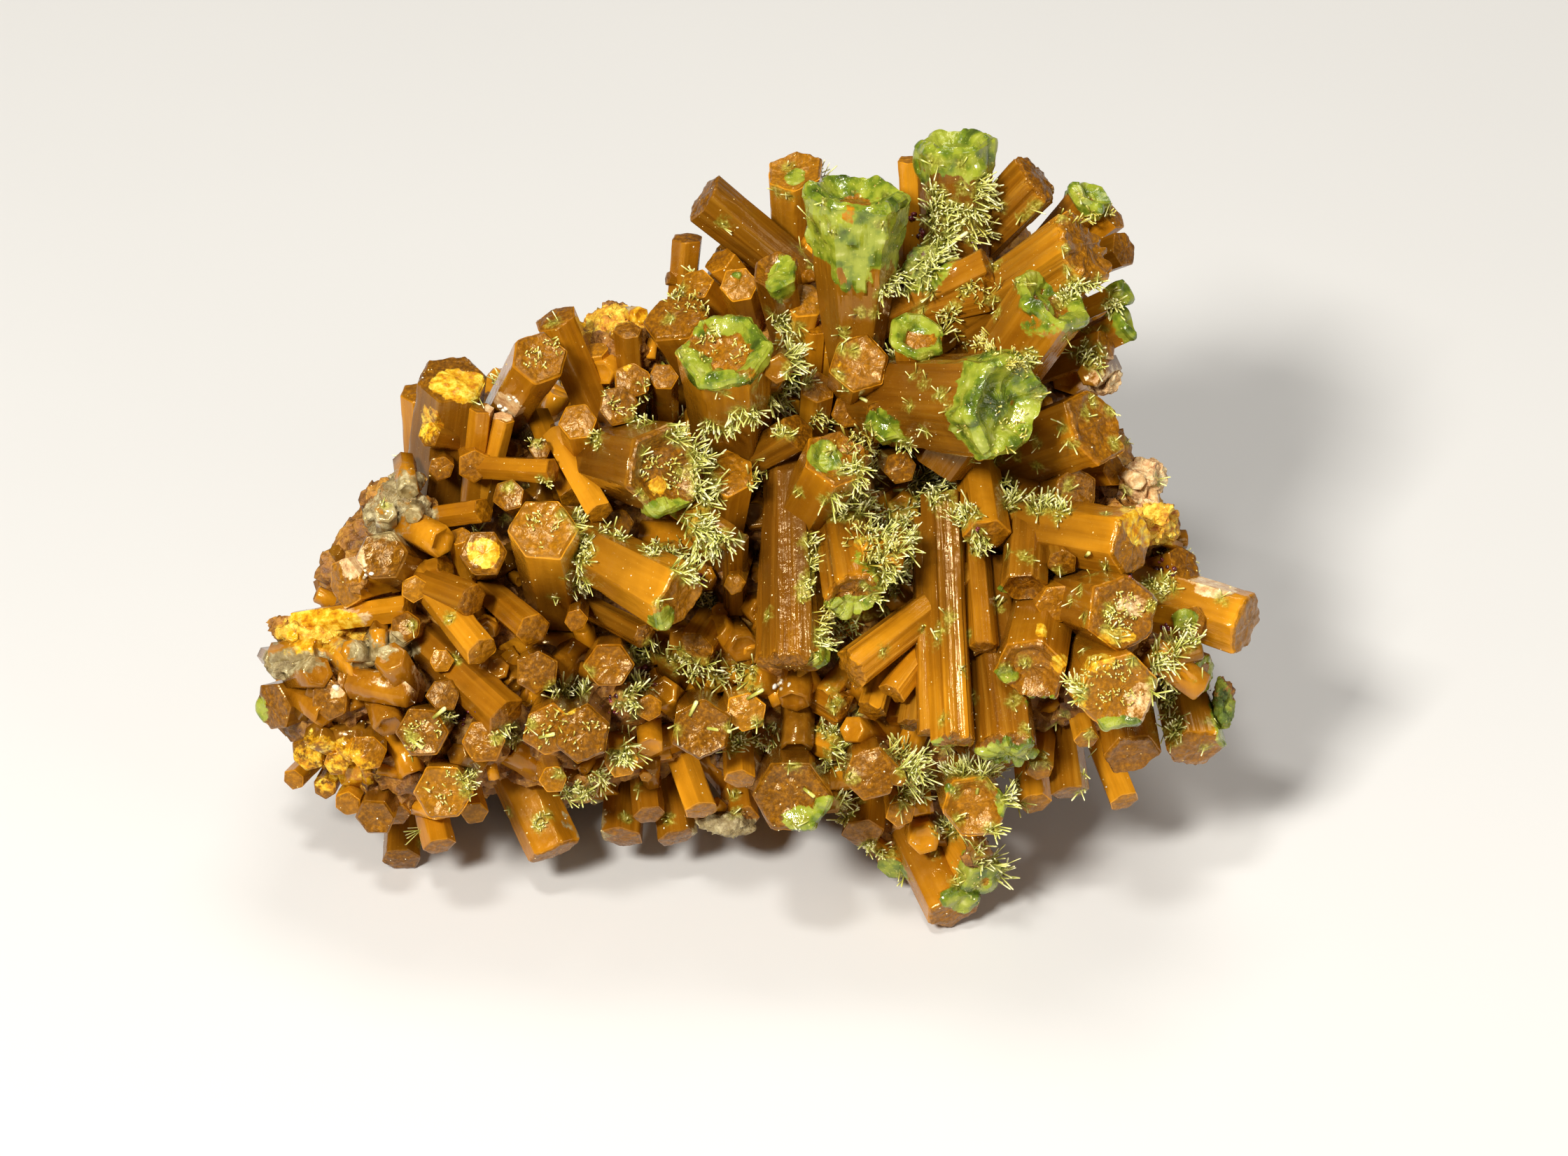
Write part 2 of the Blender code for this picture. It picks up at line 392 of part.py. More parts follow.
def make_prism(name, tip, axis, radius, root, length, turn, kind, collection, rng):
    """One hexagonal crystal with slightly unequal sides, narrower at its root."""
    bm = bmesh.new()
    bmesh.ops.create_cone(
        bm,
        cap_ends=True,
        segments=6,
        radius1=root,
        radius2=radius,
        depth=length,
        matrix=Matrix.Translation((0.0, 0.0, -length / 2.0)),
    )
    for corner in range(6):
        angle = math.tau * (corner + 0.5) / 6.0
        ray = Vector((math.cos(angle), math.sin(angle)))
        stretch = 1.0 + rng.uniform(-SIDE_JITTER, SIDE_JITTER)
        for vert in bm.verts:
            if ray.dot(vert.co.xy.normalized()) > SAME_CORNER:
                vert.co.xy *= stretch
    cap = max(bm.faces, key=lambda face: face.calc_center_median().z)
    shape_end(bm, cap, radius, kind, rng)
    bm.transform(axis_frame(tip, axis, turn))
    return link_mesh(name, bm, collection)


def grow_face_crystals(collection):
    rng = random.Random(FACE_SEED)
    groups = {
        "crown": CROWN,
        "upper": UPPER_FACE,
        "left": LEFT_FACE,
        "west": WEST_LOBE,
        "lower": LOWER_FACE,
        "fan": STRIATED_FAN,
        "east": EAST_LOBE,
    }
    for group, rows in groups.items():
        for number, (tip, radius, root, length, lean, turn, kind) in enumerate(rows):
            make_prism(
                f"{group}_{number:02d}",
                as_seen(*tip),
                crystal_axis(*lean),
                radius * MM,
                root * MM,
                length * MM,
                turn,
                kind,
                collection,
                rng,
            )


def inside_outline(across, up, margin):
    """Whether a disc of this radius stays within the outline."""
    inside = False
    for (a0, u0), (a1, u1) in zip(OUTLINE, OUTLINE[1:] + OUTLINE[:1]):
        if (u0 > up) != (u1 > up) and across < a0 + (up - u0) * (a1 - a0) / (u1 - u0):
            inside = not inside
        edge = Vector((a1 - a0, u1 - u0))
        reach = Vector((across - a0, up - u0))
        along = max(0.0, min(1.0, reach.dot(edge) / edge.length_squared))
        if (reach - edge * along).length < margin:
            return False
    return inside


def back_sites():
    """Tip, axis, radius and turn of each crystal on the sides and back, spaced by the golden angle."""
    rng = random.Random(BACK_SEED)
    for number in range(BACK_COUNT):
        out = BACK_FROM - BACK_SPAN * (number + 0.5) / BACK_COUNT
        ring = math.sqrt(max(0.0, 1.0 - out * out))
        angle = number * GOLDEN_ANGLE
        unit = (ring * math.cos(angle), ring * math.sin(angle), out)
        jitter = [rng.uniform(-BACK_SCATTER, BACK_SCATTER) for _ in range(3)]
        proud = rng.uniform(*BACK_PROUD)
        radius = rng.uniform(*BACK_RADIUS)
        turn = rng.uniform(0.0, 60.0)
        tip = [c + h * n for c, h, n in zip(BACK_CENTRE, BACK_HALF, unit)]
        scatter = [j / BACK_SCATTER_REACH for j in jitter]
        normal = Vector([n / h + s for n, h, s in zip(unit, BACK_HALF, scatter)])
        normal.normalize()
        end = [t + n * proud for t, n in zip(tip, normal)]
        site = as_seen(*end)
        axis = face_direction(*normal)
        clear = site.z > FOOT_CLEARANCE * MM and axis.z > BACK_LOWEST
        if clear and inside_outline(end[0], end[1], radius):
            yield site, axis, radius * MM, turn


def grow_back_crystals(collection):
    rng = random.Random(BACK_SEED + 1)
    for number, (tip, axis, radius, turn) in enumerate(back_sites()):
        kind = "flat" if number % 3 else "plain"
        make_prism(
            f"back_{number:02d}",
            tip,
            axis,
            radius,
            radius * BACK_TAPER,
            BACK_LENGTH * MM,
            turn,
            kind,
            collection,
            rng,
        )


def make_lump(name, middle, half, points, roughness, collection, rng):
    """A broken lump: the hull of points scattered over an ellipsoid."""
    bm = bmesh.new()
    for number in range(points):
        out = 1.0 - 2.0 * (number + 0.5) / points
        ring = math.sqrt(1.0 - out * out)
        angle = number * GOLDEN_ANGLE
        swell = 1.0 + rng.uniform(-roughness, roughness)
        unit = (ring * math.cos(angle), ring * math.sin(angle), out)
        bm.verts.new(as_seen(*[m + h * u * swell for m, h, u in zip(middle, half, unit)]))
    bmesh.ops.convex_hull(bm, input=bm.verts)
    bmesh.ops.delete(bm, geom=[v for v in bm.verts if not v.link_faces], context="VERTS")
    return link_mesh(name, bm, collection)


def grow_matrix(collection):
    rng = random.Random(MATRIX_SEED)
    for number, (middle, half) in enumerate(MATRIX):
        name = f"matrix_{number}"
        make_lump(name, middle, half, MATRIX_POINTS, MATRIX_ROUGHNESS, collection, rng)
    for number, (middle, half) in enumerate(CRUSTS):
        name = f"crust_{number}"
        make_lump(name, middle, half, CRUST_POINTS, MATRIX_ROUGHNESS, collection, rng)


def grow_tufts(collection):
    rng = random.Random(TUFT_SEED)
    for number, (middle, radius) in enumerate(TUFTS):
        name = f"tuft_{number:02d}"
        make_lump(name, middle, (radius,) * 3, TUFT_POINTS, MATRIX_ROUGHNESS, collection, rng)


def table_block(collection):
    """Cuts away what would stand below the table."""
    half = TABLE_BLOCK * MM / 2.0
    bm = bmesh.new()
    bmesh.ops.create_cube(bm, size=2.0 * half, matrix=Matrix.Translation((0.0, 0.0, -half)))
    return link_mesh("table_cut", bm, collection)


def joined(helpers, cutter):
    """All the growth as one closed mesh, cut flat where it rests."""
    parts = [o for o in helpers.objects if o is not cutter]
    first, rest = parts[0], parts[1:]
    others = bpy.data.collections.new("others")
    for obj in rest:
        others.objects.link(obj)
    union = first.modifiers.new("grown together", "BOOLEAN")
    union.operation = "UNION"
    union.operand_type = "COLLECTION"
    union.collection = others
    union.solver = "EXACT"
    union.use_self = True
    cut = first.modifiers.new("rest", "BOOLEAN")
    cut.operation = "DIFFERENCE"
    cut.object = cutter
    cut.solver = "EXACT"
    graph = bpy.context.evaluated_depsgraph_get()
    mesh = bpy.data.meshes.new_from_object(first.evaluated_get(graph))
    return mesh


def keep_outer_shell(mesh):
    """Fills pockets sealed between crystals, by dropping every shell but the largest."""
    bm = bmesh.new()
    bm.from_mesh(mesh)
    bmesh.ops.remove_doubles(bm, verts=bm.verts, dist=WELD)
    bmesh.ops.dissolve_degenerate(bm, edges=bm.edges, dist=WELD)
    left = set(bm.faces)
    shells = []
    while left:
        stack = [left.pop()]
        shell = list(stack)
        while stack:
            for edge in stack.pop().edges:
                for face in edge.link_faces:
                    if face in left:
                        left.remove(face)
                        stack.append(face)
                        shell.append(face)
        shells.append(shell)
    shells.sort(key=len)
    for shell in shells[:-1]:
        bmesh.ops.delete(bm, geom=shell, context="FACES")
    bmesh.ops.triangulate(bm, faces=bm.faces)
    bm.to_mesh(mesh)
    bm.free()


def brown_pyromorphite():
    material = bpy.data.materials.new("brown_pyromorphite")
    material.use_nodes = True
    shader = material.node_tree.nodes["Principled BSDF"]
    shader.inputs["Base Color"].default_value = (0.43, 0.155, 0.010, 1.0)
    shader.inputs["Roughness"].default_value = 0.38
    shader.inputs["Metallic"].default_value = 0.0
    return material


def main():
    clear_scene()
    helpers = helper_collection()
    grow_matrix(helpers)
    grow_face_crystals(helpers)
    grow_back_crystals(helpers)
    grow_tufts(helpers)
    cutter = table_block(helpers)
    mesh = joined(helpers, cutter)
    keep_outer_shell(mesh)
    mesh.name = "crystal_cluster"
    mesh.materials.clear()
    mesh.materials.append(brown_pyromorphite())
    specimen = bpy.data.objects.new("crystal_cluster", mesh)
    bpy.context.scene.collection.objects.link(specimen)
    for obj in list(helpers.objects):
        bpy.data.objects.remove(obj, do_unlink=True)


main()
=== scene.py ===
"""A hand specimen of pyromorphite, dressed over its solid.

Stout ochre prisms radiate from a lump of gossan. Their ends carry waxy green overgrowth, tiny pale
needles stand between them, and crusts of quartz and yellow ochre show at the edges. Sizes in the
tables are in millimetres, read in the frame of the crystal face: across to the right, up the face,
and out towards whoever looks at it square on.
"""

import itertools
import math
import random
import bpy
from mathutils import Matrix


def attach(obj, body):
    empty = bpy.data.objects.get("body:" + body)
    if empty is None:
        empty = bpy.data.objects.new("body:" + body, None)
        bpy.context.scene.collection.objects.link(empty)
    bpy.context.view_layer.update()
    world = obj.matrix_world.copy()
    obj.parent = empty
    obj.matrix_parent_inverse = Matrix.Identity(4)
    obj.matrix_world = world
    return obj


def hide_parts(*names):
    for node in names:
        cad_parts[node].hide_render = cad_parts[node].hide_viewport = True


bl_info = {
    "name": "Pyromorphite specimen",
    "version": (1, 0, 0),
    "blender": (4, 5, 0),
    "location": "3D View > Sidebar > Pyromorphite",
    "description": "Grows the prisms, green overgrowth, needles and matrix of a pyromorphite cluster",
    "category": "Object",
}

import bmesh
import bpy
import numpy as np
from bpy.props import FloatProperty, FloatVectorProperty, IntProperty, PointerProperty
from mathutils import Matrix, Vector
from mathutils.bvhtree import BVHTree
from mathutils.kdtree import KDTree

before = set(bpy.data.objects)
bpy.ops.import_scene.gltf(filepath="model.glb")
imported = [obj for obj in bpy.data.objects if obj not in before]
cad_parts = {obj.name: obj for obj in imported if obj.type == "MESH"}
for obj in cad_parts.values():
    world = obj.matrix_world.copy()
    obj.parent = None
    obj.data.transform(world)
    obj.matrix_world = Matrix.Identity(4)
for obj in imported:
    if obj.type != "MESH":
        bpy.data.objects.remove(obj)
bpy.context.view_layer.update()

SPECIMEN = "crystal_cluster"
MM = 0.001
GOLDEN_ANGLE = math.pi * (3.0 - math.sqrt(5.0))

# How the specimen stands: the crystal face looks 37 degrees above the horizon.
FACE_ELEVATION = math.radians(37.0)
# How high up the face the table lies, where out is zero.
REST_UP = -16.55
# The tables are as read from this far in front of the places whose out is SHARP_OUT.
VIEW_DISTANCE = 300.0
SHARP_OUT = 6.5
# Middle of the ground it covers, across and back.
CENTRE_ACROSS = -1.275
CENTRE_BACK = 12.59

# Proportions that every prism shares.
CHAMFER = 0.10
CHAMFER_FROM = 1.40
RIM_DEPTH = 0.34
PIT_DEPTH = 0.13
END_TILT = 0.12
SIDE_JITTER = 0.08
# An axis closer than this to the face's upright takes its turn from across instead.
LEAST_LEAN = 0.2

# Rows of crystals: middle of the end (across, up, out), radius there, radius at the root, length,
# (lean across, lean up) of the axis from root to end, turn in degrees, kind of end.
# With no turn a flat side looks up the face, or at the viewer where the crystal stands up it.
CROWN = (
    ((3.2, 17.2, 9.6), 2.45, 1.15, 9.0, (0.00, 0.88), 4, "rim"),
    ((7.6, 19.5, 6.0), 1.80, 1.50, 9.5, (0.00, 0.95), 2, "rim"),
    ((5.6, 18.7, 5.0), 0.55, 0.50, 6.0, (-0.05, 0.92), 20, "plain"),
    ((11.3, 17.9, 4.6), 1.55, 1.30, 8.5, (0.66, 0.66), 8, "flat"),
    ((13.7, 17.1, 2.6), 1.00, 0.85, 7.0, (0.58, 0.66), 20, "rim"),
    ((14.7, 16.2, 1.6), 0.80, 0.70, 6.0, (0.66, 0.52), 5, "plain"),
    ((13.5, 14.9, 8.2), 2.00, 1.60, 9.5, (0.76, 0.50), 4, "pitted"),
    ((9.2, 14.0, 7.4), 1.00, 0.90, 7.0, (0.85, 0.42), 22, "flat"),
    ((9.2, 12.6, 7.6), 0.75, 0.70, 6.0, (0.90, 0.20), 10, "plain"),
    ((12.0, 12.5, 9.6), 2.00, 1.70, 9.5, (0.52, 0.74), 6, "rim"),
    ((15.2, 12.8, 5.4), 0.55, 0.50, 6.0, (0.84, 0.38), 14, "plain"),
    ((15.3, 11.4, 5.0), 0.85, 0.75, 6.5, (0.82, 0.42), 22, "rim"),
    ((14.4, 10.4, 5.6), 0.75, 0.65, 5.5, (0.76, 0.28), 0, "plain"),
    ((15.2, 14.7, 2.6), 0.88, 0.75, 6.0, (0.72, 0.26), 9, "plain"),
    ((-3.6, 17.0, 2.6), 1.28, 1.10, 9.0, (-0.74, 0.58), 22, "flat"),
    ((0.5, 18.2, 1.2), 1.42, 1.20, 8.0, (-0.02, 0.68), 28, "pitted"),
    ((-4.3, 15.2, 2.0), 0.74, 0.65, 6.5, (0.10, 0.90), 12, "plain"),
    ((-2.9, 14.2, 2.8), 0.82, 0.70, 5.0, (-0.55, 0.62), 27, "plain"),
    ((-5.2, 13.4, 1.6), 0.34, 0.30, 4.0, (-0.85, 0.20), 5, "plain"),
    ((-4.0, 13.1, 4.6), 0.92, 0.80, 4.5, (-0.40, 0.40), 16, "flat"),
    ((-2.0, 13.1, 6.2), 0.92, 0.80, 5.0, (-0.10, 0.34), 11, "flat"),
    ((-0.4, 13.8, 8.0), 1.15, 0.95, 6.5, (-0.12, 0.52), 28, "rim"),
    ((0.9, 12.4, 6.4), 1.05, 0.90, 6.5, (0.16, 0.66), 3, "plain"),
    ((2.6, 12.2, 6.6), 0.80, 0.70, 6.0, (0.10, 0.78), 20, "plain"),
)

UPPER_FACE = (
    ((-2.6, 10.2, 11.0), 2.15, 1.70, 9.0, (-0.04, 0.58), 2, "rim"),
    ((9.9, 7.7, 13.0), 2.50, 1.95, 11.0, (0.60, -0.06), 12, "rim"),
    ((6.0, 10.8, 9.4), 1.22, 1.00, 7.0, (-0.05, 0.44), 24, "rim"),
    ((3.4, 9.6, 8.8), 1.42, 1.20, 7.0, (0.05, 0.26), 16, "pitted"),
    ((4.5, 7.1, 8.8), 1.05, 0.85, 6.5, (-0.22, 0.10), 19, "rim"),
    ((13.9, 6.8, 7.6), 1.90, 1.60, 9.5, (0.66, 0.22), 24, "pitted"),
    ((2.4, 5.4, 9.8), 1.62, 1.35, 8.5, (0.30, 0.52), 14, "rim"),
    ((0.7, 6.5, 8.2), 0.98, 0.80, 6.0, (0.62, 0.34), 18, "flat"),
    ((5.2, 4.9, 7.4), 0.80, 0.70, 5.5, (0.10, -0.12), 14, "plain"),
    ((9.0, 1.9, 7.6), 1.15, 1.00, 7.0, (0.08, -0.72), 6, "flat"),
    ((1.4, 11.2, 6.0), 0.62, 0.50, 5.5, (0.05, 0.80), 7, "plain"),
    ((1.5, 8.5, 6.8), 0.85, 0.75, 5.5, (0.06, 0.55), 26, "plain"),
    ((2.9, 7.4, 6.6), 0.80, 0.70, 5.0, (0.02, -0.10), 12, "plain"),
    ((-2.5, 4.7, 8.8), 1.30, 1.10, 7.0, (0.08, 0.52), 28, "flat"),
    ((-0.7, 9.0, 6.2), 0.80, 0.70, 5.0, (0.10, 0.50), 4, "plain"),
    ((13.0, 3.9, 6.6), 1.10, 0.95, 5.5, (0.40, 0.05), 28, "plain"),
)

LEFT_FACE = (
    ((-10.9, 9.8, 8.6), 1.34, 1.10, 7.5, (0.26, 0.34), 16, "pitted"),
    ((-10.2, 11.6, 6.2), 1.08, 0.95, 8.0, (-0.34, 0.82), 6, "flat"),
    ((-9.2, 7.0, 8.2), 0.94, 0.75, 6.5, (-0.06, 0.42), 8, "flat"),
    ((-7.4, 7.7, 8.6), 0.95, 0.80, 6.0, (0.08, 0.12), 14, "flat"),
    ((-6.8, 8.8, 8.2), 0.88, 0.75, 6.0, (0.04, 0.20), 26, "plain"),
    ((-7.0, 11.1, 6.4), 0.70, 0.60, 6.5, (-0.05, 0.76), 21, "plain"),
    ((-8.4, 10.2, 5.2), 0.60, 0.55, 5.0, (-0.10, 0.70), 3, "plain"),
    ((-4.9, 11.6, 6.2), 1.60, 1.35, 7.5, (-0.34, 0.60), 12, "flat"),
    ((-5.4, 9.0, 7.6), 0.68, 0.60, 5.5, (0.00, 0.34), 2, "plain"),
    ((-10.9, 5.8, 6.6), 0.52, 0.45, 4.0, (0.00, 0.16), 4, "plain"),
    ((-10.3, 4.8, 7.2), 0.62, 0.55, 4.5, (0.86, -0.05), 9, "plain"),
    ((-12.3, 3.7, 7.0), 0.78, 0.65, 5.0, (-0.25, 0.20), 18, "plain"),
    ((-8.2, 2.9, 8.0), 0.66, 0.60, 5.0, (0.42, -0.72), 14, "plain"),
    ((-9.4, 3.6, 5.4), 0.72, 0.65, 5.0, (0.34, -0.74), 2, "plain"),
    ((-10.8, 2.2, 10.2), 1.58, 1.45, 9.0, (-0.05, 0.38), 1, "pitted"),
    ((-5.3, 4.8, 11.0), 2.10, 1.60, 9.5, (0.46, -0.12), 20, "rim"),
    ((-4.7, -0.9, 10.4), 1.75, 1.20, 8.5, (0.74, -0.40), 12, "pitted"),
    ((-14.8, 8.9, 4.6), 1.75, 1.75, 8.5, (0.14, 0.80), 2, "flat"),
    ((-16.3, 8.3, 2.6), 0.95, 1.15, 7.0, (-0.06, 0.86), 20, "plain"),
    ((-15.9, 6.4, 5.6), 0.62, 0.55, 4.0, (-0.50, 0.10), 7, "plain"),
    ((-15.3, 4.9, 5.6), 0.62, 0.55, 4.0, (0.05, -0.20), 15, "plain"),
    ((-13.5, 7.6, 5.6), 0.60, 0.55, 5.0, (0.12, 0.84), 0, "plain"),
    ((-12.5, 7.2, 5.8), 0.52, 0.50, 5.0, (0.22, 0.78), 24, "plain"),
    ((-13.8, 5.0, 5.8), 0.80, 0.70, 4.5, (0.10, -0.20), 29, "plain"),
    ((-9.3, -1.9, 7.2), 0.55, 0.50, 4.5, (0.00, -0.18), 10, "plain"),
    ((-11.2, -2.3, 7.0), 0.85, 0.75, 5.0, (0.45, -0.35), 19, "plain"),
    ((-7.4, 2.4, 6.4), 0.75, 0.70, 4.5, (0.30, -0.20), 5, "plain"),
)

WEST_LOBE = (
    ((-18.0, 1.0, 7.0), 1.26, 1.05, 6.5, (-0.30, 0.16), 8, "pitted"),
    ((-19.6, -0.2, 4.8), 1.20, 1.00, 7.0, (-0.62, -0.14), 20, "flat"),
    ((-16.7, -1.3, 5.2), 0.72, 0.62, 6.0, (0.88, 0.12), 12, "plain"),
    ((-16.5, -0.5, 6.2), 0.62, 0.55, 4.0, (0.05, -0.05), 26, "plain"),
    ((-15.1, 0.5, 5.6), 0.62, 0.60, 4.5, (0.72, 0.20), 12, "plain"),
    ((-13.4, 1.1, 7.2), 1.12, 1.00, 6.0, (0.06, 0.08), 4, "flat"),
    ((-13.9, -1.0, 7.2), 0.84, 0.75, 5.0, (0.72, -0.26), 21, "flat"),
    ((-14.5, 1.9, 6.2), 0.55, 0.50, 4.5, (-0.05, 0.60), 17, "plain"),
    ((-13.4, 3.0, 6.0), 0.66, 0.60, 4.5, (0.80, 0.10), 7, "plain"),
    ((-16.9, -2.2, 5.8), 0.78, 0.70, 4.5, (-0.12, -0.02), 25, "rim"),
    ((-13.5, -3.3, 7.6), 0.86, 0.75, 5.5, (0.56, -0.66), 9, "flat"),
    ((-15.3, -3.7, 6.0), 0.56, 0.50, 4.0, (0.10, -0.10), 2, "plain"),
    ((-22.8, -5.8, 2.2), 1.20, 1.10, 6.5, (-0.62, -0.20), 4, "flat"),
    ((-20.3, -5.5, 4.2), 1.00, 0.90, 5.5, (-0.20, -0.12), 23, "flat"),
    ((-18.6, -7.8, 4.4), 0.86, 0.80, 5.0, (0.05, -0.20), 8, "flat"),
    ((-21.3, -7.9, 1.8), 0.84, 0.80, 5.0, (-0.35, -0.30), 20, "flat"),
    ((-20.0, -8.3, 2.4), 0.62, 0.55, 5.0, (-0.10, -0.30), 2, "plain"),
    ((-21.9, -9.0, 0.0), 0.56, 0.55, 5.0, (-0.35, -0.40), 13, "plain"),
    ((-20.5, -9.4, 0.6), 0.58, 0.55, 5.0, (-0.20, -0.45), 27, "plain"),
    ((-19.5, -10.1, 1.0), 0.66, 0.60, 5.0, (-0.15, -0.40), 18, "plain"),
    ((-18.2, -10.7, 2.4), 0.98, 0.85, 7.0, (-0.06, -0.34), 2, "pitted"),
    ((-17.4, -10.6, 0.4), 0.85, 0.75, 6.0, (0.12, -0.80), 5, "plain"),
    ((-17.1, -12.6, -3.4), 1.00, 0.90, 8.0, (-0.02, -0.85), 8, "flat"),
    ((-16.1, -6.9, 7.0), 1.26, 1.10, 7.0, (-0.06, -0.08), 1, "pitted"),
    ((-15.2, -5.2, 6.2), 0.80, 0.70, 5.0, (0.05, 0.10), 5, "plain"),
    ((-13.4, -7.3, 6.2), 1.02, 0.90, 6.0, (0.02, -0.10), 3, "flat"),
    ((-15.2, -9.6, 5.6), 1.38, 1.15, 7.5, (-0.02, -0.18), 1, "pitted"),
    ((-15.4, -12.0, 0.0), 0.82, 0.75, 6.5, (0.22, -0.84), 19, "flat"),
    ((-13.8, -10.5, 2.0), 0.66, 0.60, 5.0, (0.20, -0.60), 11, "plain"),
    ((-12.4, -6.2, 6.4), 1.02, 0.90, 6.0, (0.66, -0.58), 6, "flat"),
)

LOWER_FACE = (
    ((-11.0, -4.2, 7.4), 1.00, 0.90, 6.0, (0.05, -0.06), 28, "flat"),
    ((-7.8, -3.9, 8.6), 1.14, 0.95, 7.0, (0.02, -0.10), 1, "pitted"),
    ((-10.5, -6.8, 8.0), 1.28, 1.10, 7.0, (-0.02, -0.16), 20, "flat"),
    ((-9.0, -7.0, 8.1), 1.42, 1.15, 7.0, (-0.02, -0.16), 20, "flat"),
    ((-6.0, -5.8, 6.4), 0.64, 0.55, 4.5, (0.05, -0.10), 28, "plain"),
    ((-3.7, -6.8, 8.0), 1.42, 1.20, 7.5, (0.02, -0.14), 26, "pitted"),
    ((-1.7, -6.0, 7.2), 0.98, 0.85, 6.0, (0.08, -0.10), 21, "flat"),
    ((-7.3, -8.2, 5.6), 0.78, 0.65, 5.0, (0.05, -0.30), 11, "plain"),
    ((-10.3, -9.0, 5.2), 0.70, 0.60, 5.0, (0.10, -0.20), 5, "plain"),
    ((-10.3, -12.2, -0.4), 1.40, 1.30, 9.5, (0.42, -0.86), 5, "flat"),
    ((-7.3, -11.6, -0.8), 1.10, 1.00, 7.0, (-0.06, -0.88), 25, "flat"),
    ((-4.8, -11.6, -0.6), 0.98, 0.90, 7.0, (0.16, -0.88), 13, "flat"),
    ((-6.0, -10.6, 1.0), 0.80, 0.75, 6.0, (0.10, -0.80), 2, "plain"),
    ((-3.7, -10.4, 1.8), 0.85, 0.80, 6.0, (0.30, -0.80), 2, "plain"),
    ((-2.0, -9.0, 4.4), 0.76, 0.70, 6.0, (0.05, -0.78), 22, "plain"),
    ((-1.9, -10.8, -0.2), 0.85, 0.80, 6.0, (0.10, -0.70), 7, "plain"),
    ((0.35, -9.7, 7.4), 1.84, 1.50, 8.0, (0.00, -0.20), 2, "pitted"),
    ((3.9, -8.8, 7.6), 1.28, 1.10, 7.5, (0.04, -0.16), 14, "flat"),
    ((8.5, -10.2, 6.4), 1.62, 1.35, 8.5, (0.10, -0.28), 10, "rim"),
    ((5.2, -10.5, 4.4), 0.70, 0.60, 5.5, (0.05, -0.40), 19, "plain"),
    ((3.5, -11.4, 1.2), 1.05, 1.00, 6.5, (-0.10, -0.80), 5, "flat"),
    ((7.6, -14.8, 0.5), 1.50, 1.35, 8.5, (0.42, -0.82), 2, "flat"),
    ((8.9, -13.5, 1.4), 1.15, 1.00, 7.5, (0.44, -0.64), 27, "flat"),
    ((4.8, -12.9, -0.6), 0.78, 0.75, 5.5, (-0.10, -0.72), 16, "plain"),
)

STRIATED_FAN = (
    ((0.4, -3.9, 8.4), 1.72, 1.15, 9.5, (0.02, -0.96), 4, "flat"),
    ((3.2, -0.8, 9.4), 1.50, 1.25, 7.5, (0.12, -0.74), 12, "rim"),
    ((-2.2, 1.8, 7.6), 0.66, 0.60, 5.0, (0.00, 0.62), 5, "plain"),
    ((-2.2, -0.3, 7.2), 0.52, 0.45, 4.5, (-0.10, -0.30), 10, "plain"),
    ((2.9, -4.1, 8.0), 1.12, 0.90, 7.5, (-0.76, -0.58), 8, "flat"),
    ((4.8, -5.2, 7.6), 0.72, 0.60, 6.5, (-0.56, -0.72), 20, "plain"),
    ((5.6, -6.6, 7.0), 0.64, 0.55, 6.5, (-0.14, -0.90), 27, "plain"),
    ((3.9, -6.0, 6.2), 0.76, 0.65, 6.0, (-0.26, -0.84), 13, "plain"),
    ((7.6, -7.4, 8.8), 1.12, 1.05, 11.5, (0.04, -0.96), 0, "flat"),
    ((6.5, -7.0, 8.3), 0.58, 0.60, 10.0, (0.02, -0.96), 24, "plain"),
    ((10.0, -7.7, 8.0), 1.50, 1.25, 9.0, (0.10, -0.92), 4, "flat"),
    ((8.9, -3.2, 7.8), 0.78, 0.70, 7.0, (0.06, -0.90), 8, "plain"),
    ((-0.9, -2.1, 5.8), 0.75, 0.70, 4.5, (-0.30, -0.30), 18, "plain"),
    ((2.8, -6.0, 5.0), 0.95, 0.90, 6.0, (0.74, -0.44), 4, "plain"),
    ((2.6, -7.6, 4.4), 0.85, 0.80, 5.5, (0.78, -0.34), 9, "plain"),
    ((-4.0, -3.2, 6.0), 0.95, 0.90, 5.0, (-0.20, -0.30), 4, "plain"),
    ((-6.2, -2.6, 6.4), 0.70, 0.65, 4.5, (0.60, -0.30), 15, "plain"),
)

